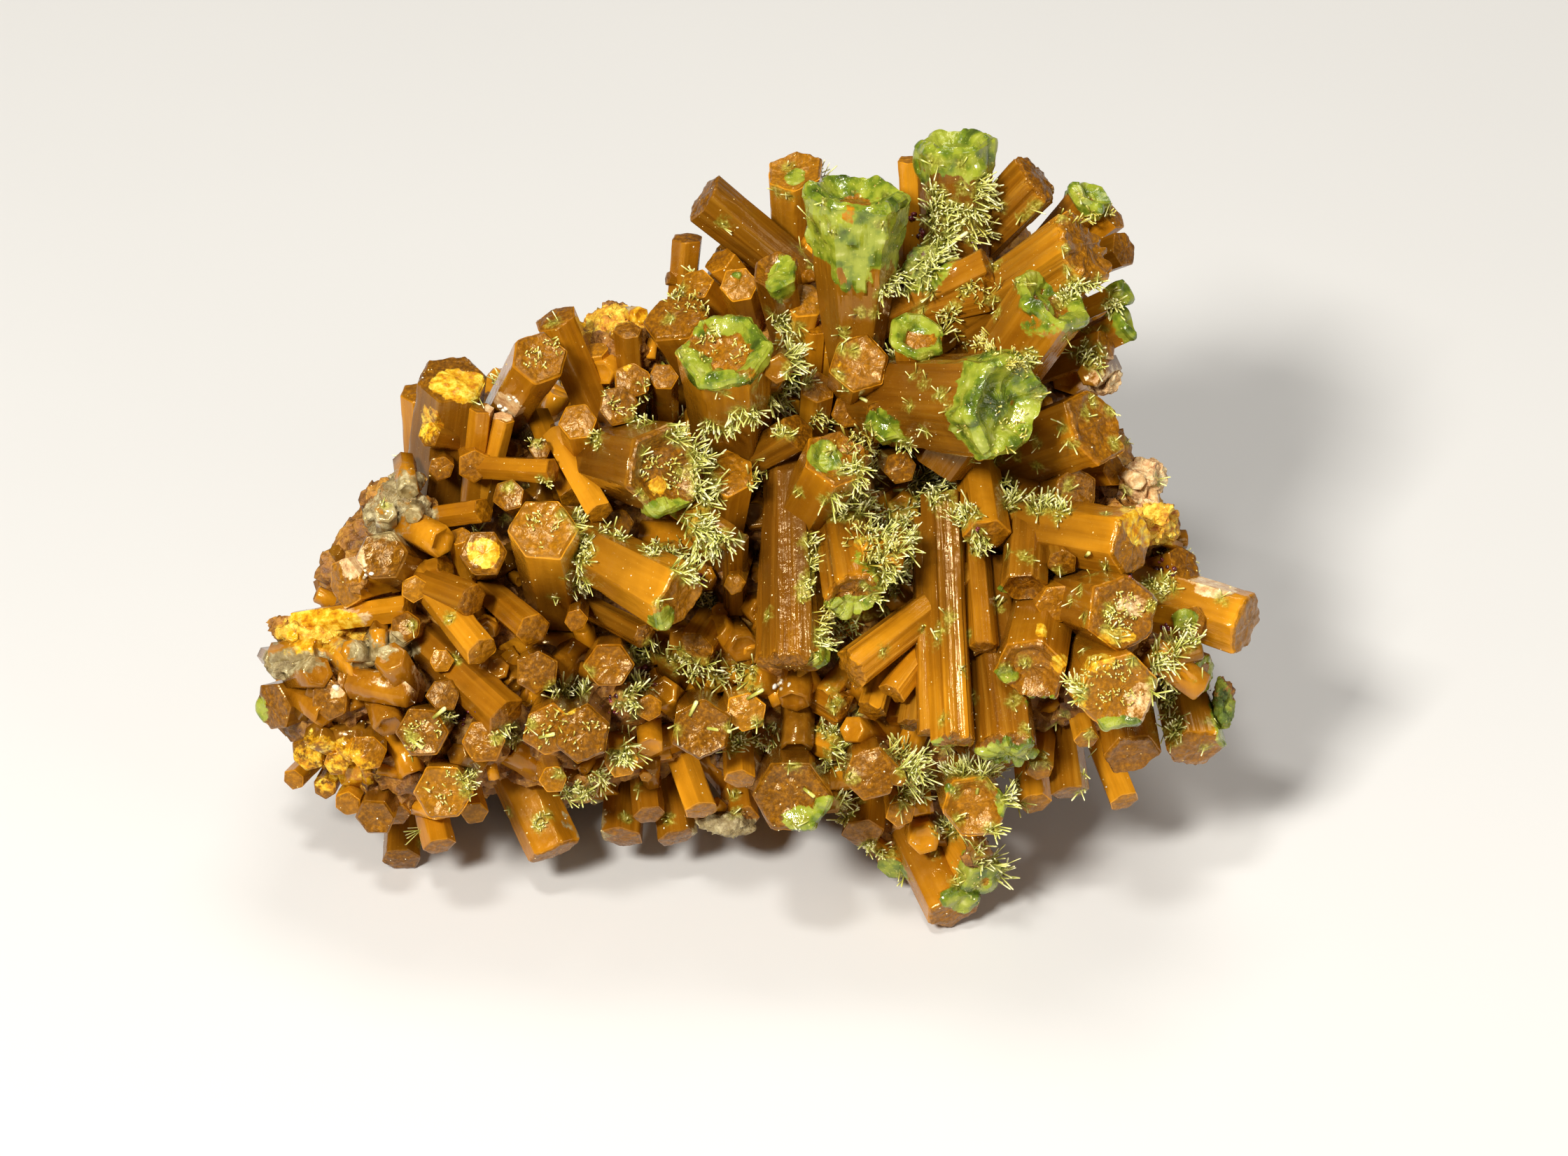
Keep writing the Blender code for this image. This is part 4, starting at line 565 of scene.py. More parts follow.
# Sprays of needles: middle (across, up), half size, sprays, lean (across, up), length, yellowness.
SPRAYS = (
    ((-0.2, 11.3), (0.5, 0.4), 5, (0.6, 0.4), 0.75, 0.3),
    ((0.5, 10.2), (0.5, 0.8), 8, (0.8, 0.1), 0.95, 0.2),
    ((0.5, 8.9), (0.5, 0.8), 8, (0.8, -0.1), 0.95, 0.1),
    ((-0.1, 7.9), (0.7, 0.4), 6, (0.5, -0.4), 0.80, 0.1),
    ((-1.6, 7.3), (0.9, 0.3), 5, (0.1, -0.6), 0.70, 0.0),
    ((-3.0, 6.7), (0.8, 0.25), 4, (0.0, -0.4), 0.60, 0.0),
    ((-6.2, 7.1), (0.7, 0.25), 4, (-0.2, 0.6), 0.65, 0.1),
    ((-4.7, 6.4), (0.6, 0.5), 6, (0.5, 0.5), 0.80, 0.3),
    ((-3.7, 5.3), (0.5, 0.8), 8, (0.8, 0.2), 0.90, 0.3),
    ((-3.5, 3.9), (0.5, 0.8), 9, (0.8, -0.1), 0.95, 0.1),
    ((-3.8, 2.4), (0.7, 0.7), 9, (0.6, -0.4), 0.95, 0.0),
    ((-3.1, 1.6), (0.6, 0.5), 6, (0.4, -0.4), 0.85, 0.0),
    ((-4.6, 1.3), (0.9, 0.4), 6, (0.0, -0.5), 0.75, 0.0),
    ((-5.8, 1.4), (0.6, 0.4), 3, (-0.2, -0.4), 0.60, 0.0),
    ((-9.2, 2.6), (0.25, 0.6), 4, (0.7, 0.2), 0.60, 0.4),
    ((-9.0, 1.2), (0.3, 0.9), 7, (0.7, 0.0), 0.70, 0.2),
    ((-9.1, -0.2), (0.35, 0.5), 4, (0.6, -0.3), 0.65, 0.1),
    ((-7.8, 1.8), (0.6, 0.5), 3, (0.2, 0.0), 0.50, 0.1),
    ((-3.5, -0.9), (0.45, 0.6), 6, (0.8, 0.0), 0.75, 0.4),
    ((-4.2, 0.2), (0.7, 0.4), 5, (0.5, 0.3), 0.70, 0.2),
    ((-6.4, -3.3), (0.8, 0.4), 7, (0.2, 0.3), 0.75, 0.0),
    ((-6.5, -4.7), (0.5, 0.5), 6, (0.4, 0.1), 0.75, 0.1),
    ((-7.0, -5.5), (0.5, 0.4), 5, (0.4, 0.0), 0.70, 0.2),
    ((-7.2, -7.7), (0.6, 0.5), 6, (0.4, -0.4), 0.75, 0.1),
    ((-10.2, -5.1), (0.6, 0.25), 4, (0.0, 0.7), 0.65, 0.2),
    ((-9.2, -5.0), (0.5, 0.25), 4, (0.1, 0.7), 0.65, 0.2),
    ((-3.9, -3.8), (1.2, 0.7), 10, (-0.1, 0.2), 0.75, 0.0),
    ((-1.9, -4.5), (1.0, 0.6), 7, (0.1, 0.2), 0.75, 0.0),
    ((-2.2, -7.3), (0.4, 0.5), 4, (0.4, -0.3), 0.65, 0.1),
    ((-0.9, -7.0), (0.5, 0.7), 5, (0.3, 0.0), 0.70, 0.1),
    ((1.2, 1.2), (0.35, 0.9), 6, (0.6, 0.1), 0.65, 0.5),
    ((1.0, -0.3), (0.3, 0.6), 3, (0.3, -0.2), 0.50, 0.5),
    ((1.7, -1.6), (0.35, 0.7), 4, (0.4, 0.0), 0.55, 0.7),
    ((1.8, -2.6), (0.4, 0.5), 5, (0.5, -0.3), 0.65, 0.2),
    ((2.6, -2.1), (0.5, 0.4), 4, (0.2, -0.5), 0.65, 0.0),
    ((2.6, 3.3), (1.3, 0.7), 12, (0.0, 0.2), 0.80, 0.0),
    ((4.3, 2.4), (1.0, 0.8), 12, (0.2, 0.2), 0.80, 0.2),
    ((4.2, 1.3), (0.9, 0.7), 10, (0.2, 0.0), 0.70, 0.7),
    ((5.0, 0.6), (0.8, 1.0), 11, (0.7, 0.0), 0.85, 0.3),
    ((4.4, -0.6), (0.9, 0.5), 6, (0.2, -0.6), 0.75, 0.1),
    ((3.3, 2.0), (0.5, 0.5), 4, (0.0, 0.0), 0.50, 1.0),
    ((5.6, 2.4), (0.4, 0.9), 7, (0.7, 0.1), 0.85, 0.1),
    ((6.4, 4.0), (1.1, 0.6), 12, (0.1, 0.2), 0.85, 0.0),
    ((5.4, 5.9), (0.4, 0.5), 3, (0.6, 0.1), 0.60, 0.1),
    ((3.4, 6.1), (0.8, 0.7), 9, (0.5, 0.4), 0.75, 0.8),
    ((3.9, 5.2), (0.4, 0.6), 5, (0.8, 0.1), 0.80, 0.6),
    ((3.1, 4.7), (0.6, 0.5), 6, (0.3, -0.4), 0.75, 0.2),
    ((8.6, 1.5), (0.35, 0.7), 5, (0.5, 0.1), 0.70, 0.2),
    ((8.2, 2.7), (0.6, 0.4), 6, (0.1, 0.3), 0.75, 0.1),
    ((10.0, 3.8), (0.45, 0.8), 8, (0.1, 0.1), 0.80, 0.0),
    ((11.5, 3.4), (0.7, 0.35), 7, (0.2, 0.3), 0.75, 0.1),
    ((12.3, 3.0), (0.4, 0.3), 3, (0.2, 0.3), 0.60, 0.2),
    ((-1.2, 4.4), (0.3, 0.8), 5, (0.5, 0.0), 0.60, 0.6),
    ((1.8, 7.1), (0.5, 0.3), 4, (0.3, 0.3), 0.60, 0.6),
    ((0.0, 6.6), (0.3, 0.3), 2, (0.3, 0.3), 0.50, 0.3),
    ((6.7, 16.6), (0.4, 1.1), 8, (0.5, 0.3), 0.90, 0.2),
    ((6.9, 14.9), (0.5, 0.6), 7, (0.6, -0.1), 1.05, 0.1),
    ((6.3, 13.8), (0.6, 0.4), 6, (0.3, -0.3), 0.95, 0.0),
    ((8.9, 17.3), (0.35, 0.9), 7, (0.7, 0.1), 0.85, 0.4),
    ((8.6, 15.8), (0.5, 0.8), 8, (0.3, -0.2), 0.80, 0.5),
    ((7.6, 16.2), (0.6, 0.5), 6, (0.0, 0.2), 0.70, 0.2),
    ((5.3, 13.3), (0.6, 0.4), 6, (0.2, -0.3), 0.80, 0.1),
    ((4.5, 12.9), (0.4, 0.3), 3, (-0.2, -0.3), 0.60, 0.0),
    ((7.4, 11.3), (0.5, 0.5), 6, (0.4, 0.3), 0.80, 0.7),
    ((9.0, 10.3), (0.9, 0.4), 8, (0.0, 0.6), 0.45, 0.8),
    ((10.6, 9.6), (0.7, 0.5), 7, (0.3, 0.5), 0.40, 0.9),
    ((8.7, 12.6), (0.9, 0.6), 6, (0.3, 0.2), 0.55, 0.9),
    ((12.6, 12.6), (0.5, 0.3), 3, (0.3, 0.5), 0.60, 0.4),
    ((13.4, 13.1), (0.7, 0.4), 6, (0.3, 0.4), 0.70, 0.2),
    ((14.6, 12.3), (0.4, 0.5), 5, (0.4, 0.2), 0.70, 0.3),
    ((13.6, 10.0), (0.7, 0.4), 6, (0.2, -0.1), 0.65, 0.3),
    ((11.0, 9.8), (0.3, 0.6), 3, (0.3, 0.3), 0.50, 0.2),
    ((13.6, 16.1), (0.9, 0.5), 5, (0.5, 0.4), 0.55, 1.0),
    ((17.0, -3.4), (0.6, 0.8), 10, (0.3, 0.2), 0.80, 0.0),
    ((16.9, -5.1), (0.5, 0.9), 10, (0.6, -0.1), 0.80, 0.0),
    ((17.2, -6.7), (0.5, 0.6), 6, (0.5, -0.3), 0.75, 0.0),
    ((18.1, -2.6), (0.4, 0.5), 5, (0.2, 0.2), 0.70, 0.1),
    ((13.0, -4.9), (0.4, 0.5), 4, (-0.5, 0.2), 0.65, 0.1),
    ((9.5, -8.8), (0.7, 0.4), 7, (0.2, 0.7), 0.90, 0.0),
    ((10.2, -10.0), (0.4, 0.9), 9, (0.8, 0.0), 0.80, 0.0),
    ((8.0, -8.6), (0.9, 0.3), 7, (0.0, 0.8), 0.85, 0.0),
    ((9.6, -11.4), (0.5, 0.4), 4, (0.6, -0.5), 0.75, 0.1),
    ((5.2, -7.9), (0.6, 0.4), 6, (0.2, 0.5), 0.85, 0.6),
    ((5.9, -8.6), (0.7, 0.8), 12, (0.7, 0.1), 0.95, 0.2),
    ((5.6, -9.7), (0.6, 0.4), 6, (0.5, -0.5), 0.85, 0.1),
    ((2.6, -10.3), (0.5, 0.5), 6, (0.5, -0.3), 0.75, 0.2),
    ((2.3, -8.0), (0.6, 0.8), 6, (0.3, 0.1), 0.75, 0.0),
    ((2.0, -6.8), (0.6, 0.3), 3, (0.1, 0.2), 0.60, 0.0),
    ((-9.3, -9.7), (0.8, 0.4), 8, (0.1, 0.3), 0.80, 0.0),
    ((-8.2, -9.0), (0.4, 0.4), 4, (0.2, 0.3), 0.75, 0.0),
    ((7.2, -11.3), (0.6, 0.4), 5, (0.0, 0.2), 0.75, 0.1),
    ((8.9, -12.3), (1.0, 0.5), 9, (0.4, 0.3), 0.80, 0.2),
    ((10.0, -13.3), (0.4, 0.9), 8, (0.7, 0.0), 0.75, 0.2),
    ((4.0, -12.0), (0.7, 0.4), 4, (-0.2, -0.2), 0.60, 0.2),
    ((-8.3, 6.2), (0.3, 0.3), 2, (0.4, -0.2), 0.55, 0.4),
    ((-11.4, 6.1), (0.3, 0.2), 2, (0.0, 0.2), 0.45, 0.4),
    ((-10.7, 4.3), (0.3, 0.3), 2, (0.3, 0.0), 0.45, 0.5),
    ((-5.0, 12.4), (0.5, 0.3), 3, (0.2, 0.3), 0.45, 0.6),
    ((-3.8, 12.2), (0.8, 0.4), 5, (0.1, 0.1), 0.40, 0.8),
    ((-2.8, 10.2), (1.2, 0.8), 5, (0.0, 0.2), 0.35, 0.9),
    ((-5.4, 4.8), (1.0, 1.2), 7, (0.2, 0.1), 0.35, 0.7),
    ((10.0, 6.6), (1.4, 1.0), 6, (0.2, 0.0), 0.35, 0.9),
    ((14.6, -4.6), (1.3, 1.2), 12, (0.0, 0.1), 0.30, 0.8),
    ((15.4, -1.4), (1.3, 1.0), 9, (0.1, 0.1), 0.32, 0.7),
    ((16.5, -0.4), (0.8, 0.5), 6, (0.3, 0.2), 0.55, 0.4),
    ((-16.1, -6.9), (0.9, 0.8), 4, (0.0, 0.1), 0.35, 0.7),
    ((-15.2, -9.4), (0.9, 0.9), 4, (0.1, 0.1), 0.35, 0.7),
    ((-9.8, -6.7), (1.6, 0.9), 6, (0.0, 0.1), 0.35, 0.7),
    ((-10.8, 2.2), (1.0, 0.9), 4, (0.0, 0.1), 0.35, 0.7),
    ((-10.9, 9.9), (0.9, 0.8), 4, (0.0, 0.1), 0.35, 0.7),
    ((-7.0, 8.2), (1.2, 1.0), 5, (0.0, 0.1), 0.45, 0.6),
    ((-12.4, -6.9), (0.6, 0.4), 5, (0.5, 0.0), 0.60, 0.3),
    ((-14.2, -8.9), (0.3, 0.7), 5, (0.7, 0.1), 0.55, 0.4),
    ((-15.1, -6.0), (0.3, 0.6), 3, (0.6, 0.2), 0.55, 0.5),
    ((-10.8, -10.8), (0.5, 0.3), 2, (0.2, 0.2), 0.50, 0.1),
)
# Sprays yellower than this have no green crust round their feet.
MOSS_BELOW = 0.6
# Longer needles that lie loose on the crystals: (across, up), direction in degrees, length.
RODS = (
    ((-3.4, -6.7), -10, 1.0),
    ((-4.2, -6.1), 65, 0.7),
    ((4.6, -1.3), -80, 0.9),
    ((-8.9, -11.6), -60, 1.0),
    ((6.9, 14.6), 35, 1.5),
    ((7.3, 15.1), 50, 1.4),
    ((6.6, 14.2), 10, 1.3),
    ((4.9, 3.9), 5, 1.1),
    ((3.4, 8.1), -60, 0.6),
    ((-15.6, -6.2), 40, 0.8),
    ((-16.7, -7.2), -35, 0.7),
    ((8.6, -9.6), 80, 0.9),
    ((-5.5, 9.6), -35, 1.2),
    ((0.9, -9.4), -40, 0.6),
    ((-10.9, -7.1), 15, 0.7),
    ((13.5, 1.0), 55, 0.7),
    ((-1.6, -5.4), 30, 0.8),
)
# Dark wine-red specks and pale ones: (across, up), size, shade.
SPECKS = (
    ((-3.7, 0.0), 0.30, "wine"),
    ((-6.4, -4.1), 0.34, "wine"),
    ((-6.1, -4.5), 0.24, "wine"),
    ((-7.6, -5.3), 0.26, "wine"),
    ((-7.6, -6.1), 0.24, "wine"),
    ((-14.3, -6.3), 0.30, "wine"),
    ((-14.0, -6.0), 0.22, "wine"),
    ((6.1, 15.5), 0.34, "wine"),
    ((5.8, 16.2), 0.26, "wine"),
    ((8.6, 15.0), 0.24, "wine"),
    ((8.6, 2.1), 0.26, "wine"),
    ((16.7, 0.6), 0.30, "wine"),
    ((17.2, 0.3), 0.24, "wine"),
    ((17.0, -2.1), 0.28, "wine"),
    ((15.5, 0.1), 0.24, "wine"),
    ((-20.0, -5.0), 0.34, "pale"),
    ((-12.6, 7.6), 0.30, "pale"),
    ((-12.1, 7.9), 0.22, "pale"),
    ((-0.3, -4.7), 0.30, "pale"),
    ((0.1, -4.8), 0.22, "pale"),
    ((-18.6, 0.2), 0.24, "pale"),
    ((17.4, 4.2), 0.26, "pale"),
)

# Seeds of the noise and of each kind of small growth.
NOISE_SEED = 19
NEEDLE_SEED = 23
STRAY_SEED = 29
SMALL_PRISM_SEED = 31
GRAIN_SEED = 37
# Windows of the face, across and up, in which the random growth is tried.
STRAY_WINDOW = ((-22.0, 20.0), (-14.0, 19.0))
SMALL_PRISM_WINDOW = ((-24.0, 21.5), (-16.0, 19.0))
GRAIN_WINDOW = ((-24.0, 21.5), (-16.0, 19.5))
# Looks at the sides and back start this far out, and are aimed at this place: across, up, out.
LOOK_FROM = 60.0
LOOK_AT = (0.0, 1.6, -3.0)
# Growth on the sides and back keeps this far above the table.
ABOVE_TABLE = 1.5
# A spray leans this much with the surface, with its own lean and towards the viewer.
SPRAY_AIM = (0.50, 0.80, 0.20)
# How far apart its needles' feet are, and how deep each needle is sunk.
SPRAY_FOOT = 0.24
NEEDLE_SUNK = 0.10
# Thickness of the longer loose needles.
ROD_WIDTH = 0.22
# Places tried for small sprays on the sides and back, and for prisms there, for each one in front.
BACK_SPRAY_PLACES = 300
BACK_PRISM_PLACES = 14
# Sizes of the small prisms, in front and behind.
FRONT_RADII = (0.30, 0.42, 0.54, 0.66, 0.78)
BACK_RADII = (0.26, 0.34, 0.44, 0.56, 0.72, 0.90)
# The green crust reaches this far from a spray's foot.
MOSS_REACH = 0.75
# Finishes of the grains: name, (place on the run, red, green, blue), roughness, refraction.
GRAIN_FINISHES = {
    # The bright grains are pale dust, partly painted glints that stand in for sparkle.
    "dust_grains": (
        "bright_grain",
        ((0.1, 196, 138, 52), (0.5, 232, 206, 120), (0.9, 250, 246, 222)),
        0.18,
        1.7,
    ),
    "wine_specks": (
        "wine_speck",
        ((0.2, 54, 12, 18), (0.6, 104, 26, 36), (0.9, 150, 66, 64)),
        0.30,
        1.7,
    ),
    "pale_specks": (
        "pale_speck",
        ((0.2, 196, 176, 132), (0.6, 228, 216, 180), (0.9, 248, 244, 230)),
        0.50,
        1.5,
    ),
}

LATTICE = np.random.default_rng(NOISE_SEED).random((32, 32, 32))


def smooth_noise(points):
    """Soft random values from 0 to 1, one feature to each unit of length."""
    base = np.floor(points).astype(int)
    part = points - base
    part = part * part * (3.0 - 2.0 * part)
    total = np.zeros(len(points))
    for corner in itertools.product((0, 1), repeat=3):
        weight = np.ones(len(points))
        for axis in range(3):
            weight = weight * (part[:, axis] if corner[axis] else 1.0 - part[:, axis])
        at = (base + np.array(corner)) % 32
        total += weight * LATTICE[at[:, 0], at[:, 1], at[:, 2]]
    return total


def rough_noise(points):
    """Coarse and fine noise together, from 0 to 1."""
    coarse = smooth_noise(points)
    fine = smooth_noise(points * 2.3 + 7.7)
    finest = smooth_noise(points * 5.1 + 3.1)
    return 0.55 * coarse + 0.30 * fine + 0.15 * finest


def on_table(across, up, out):
    """A point of the crystal face's frame as metres in the standing specimen's own frame."""
    rise, level = math.sin(FACE_ELEVATION), math.cos(FACE_ELEVATION)
    climb = up - REST_UP
    back = climb * rise - out * level
    height = climb * level + out * rise
    return Vector((across - CENTRE_ACROSS, back - CENTRE_BACK, height)) * MM


def as_seen(across, up, out):
    """The point that looks to be at this place, since what is further off looks smaller."""
    shrink = (VIEW_DISTANCE + SHARP_OUT - out) / VIEW_DISTANCE
    return on_table(across * shrink, up * shrink, out)


def seen_from_front(points):
    """Rows of (across, up, out) for rows of points in metres: as_seen turned round."""
    rise, level = math.sin(FACE_ELEVATION), math.cos(FACE_ELEVATION)
    across = points[:, 0] / MM + CENTRE_ACROSS
    back = points[:, 1] / MM + CENTRE_BACK
    height = points[:, 2] / MM
    up = back * rise + height * level + REST_UP
    out = height * rise - back * level
    shrink = (VIEW_DISTANCE + SHARP_OUT - out) / VIEW_DISTANCE
    return np.stack([across / shrink, up / shrink, out], axis=1)


def face_direction(across, up, out):
    return (on_table(across, up, out) - on_table(0.0, 0.0, 0.0)).normalized()


def crystal_axis(lean_across, lean_up):
    """The unit axis of a crystal, from how far it leans across and up the face."""
    out = math.sqrt(max(0.0, 1.0 - lean_across**2 - lean_up**2))
    return face_direction(lean_across, lean_up, out)


def axis_frame(tip, axis, turn):
    """A matrix that stands a prism on its root with its tip at this point."""
    upright = face_direction(0.0, 1.0, 0.0)
    side = upright - axis * upright.dot(axis)
    if side.length < LEAST_LEAN:
        side = Vector((1.0, 0.0, 0.0)) - axis * axis.x
    side.normalize()
    across = axis.cross(side)
    turned = Matrix((side, across, axis)).transposed().to_4x4()
    return Matrix.Translation(tip) @ turned @ Matrix.Rotation(math.radians(turn), 4, "Z")


def inside_outline(across, up, margin):
    """Whether a disc of this radius stays within the outline."""
    inside = False
    for (a0, u0), (a1, u1) in zip(OUTLINE, OUTLINE[1:] + OUTLINE[:1]):
        if (u0 > up) != (u1 > up) and across < a0 + (up - u0) * (a1 - a0) / (u1 - u0):
            inside = not inside
        edge = Vector((a1 - a0, u1 - u0))
        reach = Vector((across - a0, up - u0))
        along = max(0.0, min(1.0, reach.dot(edge) / edge.length_squared))
        if (reach - edge * along).length < margin:
            return False
    return inside


def within_outline(point, margin):
    """Whether a disc round a point in metres stays within the outline, as seen from the front."""
    across, up, _ = seen_from_front(np.array([point]))[0]
    return inside_outline(across, up, margin)


def on_spiral(number, height):
    """A point at this height on a sphere of radius one, turned by the golden angle for each number."""
    ring = math.sqrt(max(0.0, 1.0 - height * height))
    angle = number * GOLDEN_ANGLE
    return (ring * math.cos(angle), ring * math.sin(angle), height)


def back_sites():
    """Tip, axis, radius and turn of each crystal on the sides and back, spaced by the golden angle."""
    rng = random.Random(BACK_SEED)
    for number in range(BACK_COUNT):
        unit = on_spiral(number, BACK_FROM - BACK_SPAN * (number + 0.5) / BACK_COUNT)
        jitter = [rng.uniform(-BACK_SCATTER, BACK_SCATTER) for _ in range(3)]
        proud = rng.uniform(*BACK_PROUD)
        radius = rng.uniform(*BACK_RADIUS)
        turn = rng.uniform(0.0, 60.0)
        tip = [c + h * n for c, h, n in zip(BACK_CENTRE, BACK_HALF, unit)]
        scatter = [j / BACK_SCATTER_REACH for j in jitter]
        normal = Vector([n / h + s for n, h, s in zip(unit, BACK_HALF, scatter)])
        normal.normalize()
        end = [t + n * proud for t, n in zip(tip, normal)]
        site = as_seen(*end)
        axis = face_direction(*normal)
        clear = site.z > FOOT_CLEARANCE * MM and axis.z > BACK_LOWEST
        if clear and inside_outline(end[0], end[1], radius):
            yield site, axis, radius, turn


def deselect_all():
    bpy.ops.object.select_all(action="DESELECT")


def select_only(obj):
    deselect_all()
    obj.select_set(True)
    bpy.context.view_layer.objects.active = obj


def placed(name, data):
    """A new object of this mesh, light or camera, in the scene."""
    obj = bpy.data.objects.new(name, data)
    bpy.context.scene.collection.objects.link(obj)
    return obj


def select_where(obj, kind, test):
    """Selects the edges or faces that pass the test, and nothing else."""
    bm = bmesh.from_edit_mesh(obj.data)
    for item in itertools.chain(bm.verts, bm.edges, bm.faces):
        item.select = False
    for item in getattr(bm, kind):
        if test(item):
            item.select_set(True)
    bmesh.update_edit_mesh(obj.data)


def corners_of(mesh):
    """Every corner of a mesh as rows of x, y, z."""
    flat = np.empty(len(mesh.vertices) * 3)
    mesh.vertices.foreach_get("co", flat)
    return flat.reshape(-1, 3)


def normals_of(mesh):
    flat = np.empty(len(mesh.vertices) * 3)
    mesh.vertices.foreach_get("normal", flat)
    return flat.reshape(-1, 3)


def move_corners(mesh, points):
    mesh.vertices.foreach_set("co", points.astype(np.float32).ravel())
    mesh.update()


def carry(mesh, name, values):
    """Stores one number or one vector for every corner, for the finish to read."""
    kind = "FLOAT" if values.ndim == 1 else "FLOAT_VECTOR"
    field = "value" if values.ndim == 1 else "vector"
    layer = mesh.attributes.get(name) or mesh.attributes.new(name, kind, "POINT")
    layer.data.foreach_set(field, values.astype(np.float32).ravel())


def drop(obj):
    mesh = obj.data
    bpy.data.objects.remove(obj, do_unlink=True)
    bpy.data.meshes.remove(mesh)


def joined(pieces, name):
    """Joins pieces into the first of them and gives it this name."""
    deselect_all()
    for piece in pieces:
        piece.select_set(True)
    bpy.context.view_layer.objects.active = pieces[0]
    bpy.ops.object.join()
    pieces[0].name = name
    return pieces[0]


def shade(obj, degrees):
    select_only(obj)
    bpy.ops.object.shade_smooth_by_angle(angle=math.radians(degrees))


def settle(obj, finish):
    """A finished piece: on the specimen's body, in place of the solid, with its finish."""
    obj.data.materials.clear()
    obj.data.materials.append(finish)
    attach(obj, "root")
    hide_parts(SPECIMEN)


def crystal_blank(name, side_columns, rings, end_places):
    """A round bar with rings of corners down it and over its end, ready to be drawn into a prism."""
    deselect_all()
    bpy.ops.mesh.primitive_cylinder_add(
        vertices=6 * side_columns,
        radius=1.0,
        depth=1.0,
        location=(0.0, 0.0, -0.5),
    )
    bar = bpy.context.object
    bar.name = name
    bpy.ops.object.transform_apply(location=True, rotation=True, scale=True)
    bpy.ops.object.mode_set(mode="EDIT")
    bpy.ops.mesh.select_mode(type="EDGE")
    select_where(bar, "edges", lambda edge: abs(edge.verts[0].co.z - edge.verts[1].co.z) > 0.5)
    bpy.ops.mesh.subdivide(number_cuts=rings)
    bpy.ops.mesh.select_mode(type="FACE")
    select_where(bar, "faces", lambda face: face.normal.z > 0.9)
    steps = len(end_places) - 1
    for _ in range(steps - 1):
        bpy.ops.mesh.inset(thickness=1.0 / steps, depth=0.0)
    bpy.ops.mesh.poke()
    bpy.ops.object.mode_set(mode="OBJECT")
    points = corners_of(bar.data)
    reach = np.hypot(points[:, 0], points[:, 1])
    shares = np.linspace(0.0, 1.0, steps + 1)
    rho = np.interp(1.0 - reach, shares, end_places)
    return {
        "bar": bar,
        "angle": np.arctan2(points[:, 1], points[:, 0]),
        "rho": np.where(points[:, 2] < -1e-4, 1.0, rho),
        "level": np.clip(-points[:, 2], 0.0, 1.0),
        "end": points[:, 2] > -1e-4,
    }


def end_height(rho, radius, kind):
    """How far the end face stands beyond the tip, over its rings from the rim to the middle."""
    if kind == "plain" or (kind == "flat" and radius < CHAMFER_FROM):
        return np.interp(1.0 - rho, (0.0, 0.05, 1.0), (0.0, 0.03, 0.05)) * radius
    if kind == "flat":
        return np.interp(1.0 - rho, (0.0, CHAMFER_WIDTH, 1.0), (0.0, CHAMFER, CHAMFER)) * radius
    depth = RIM_DEPTH if kind == "rim" else PIT_DEPTH
    rises = (0.0, CHAMFER, CHAMFER - depth, CHAMFER - depth * HOLLOW_MIDDLE)
    return np.interp(1.0 - rho, (0.0, CHAMFER_WIDTH, HOLLOW_AT, 1.0), rises) * radius


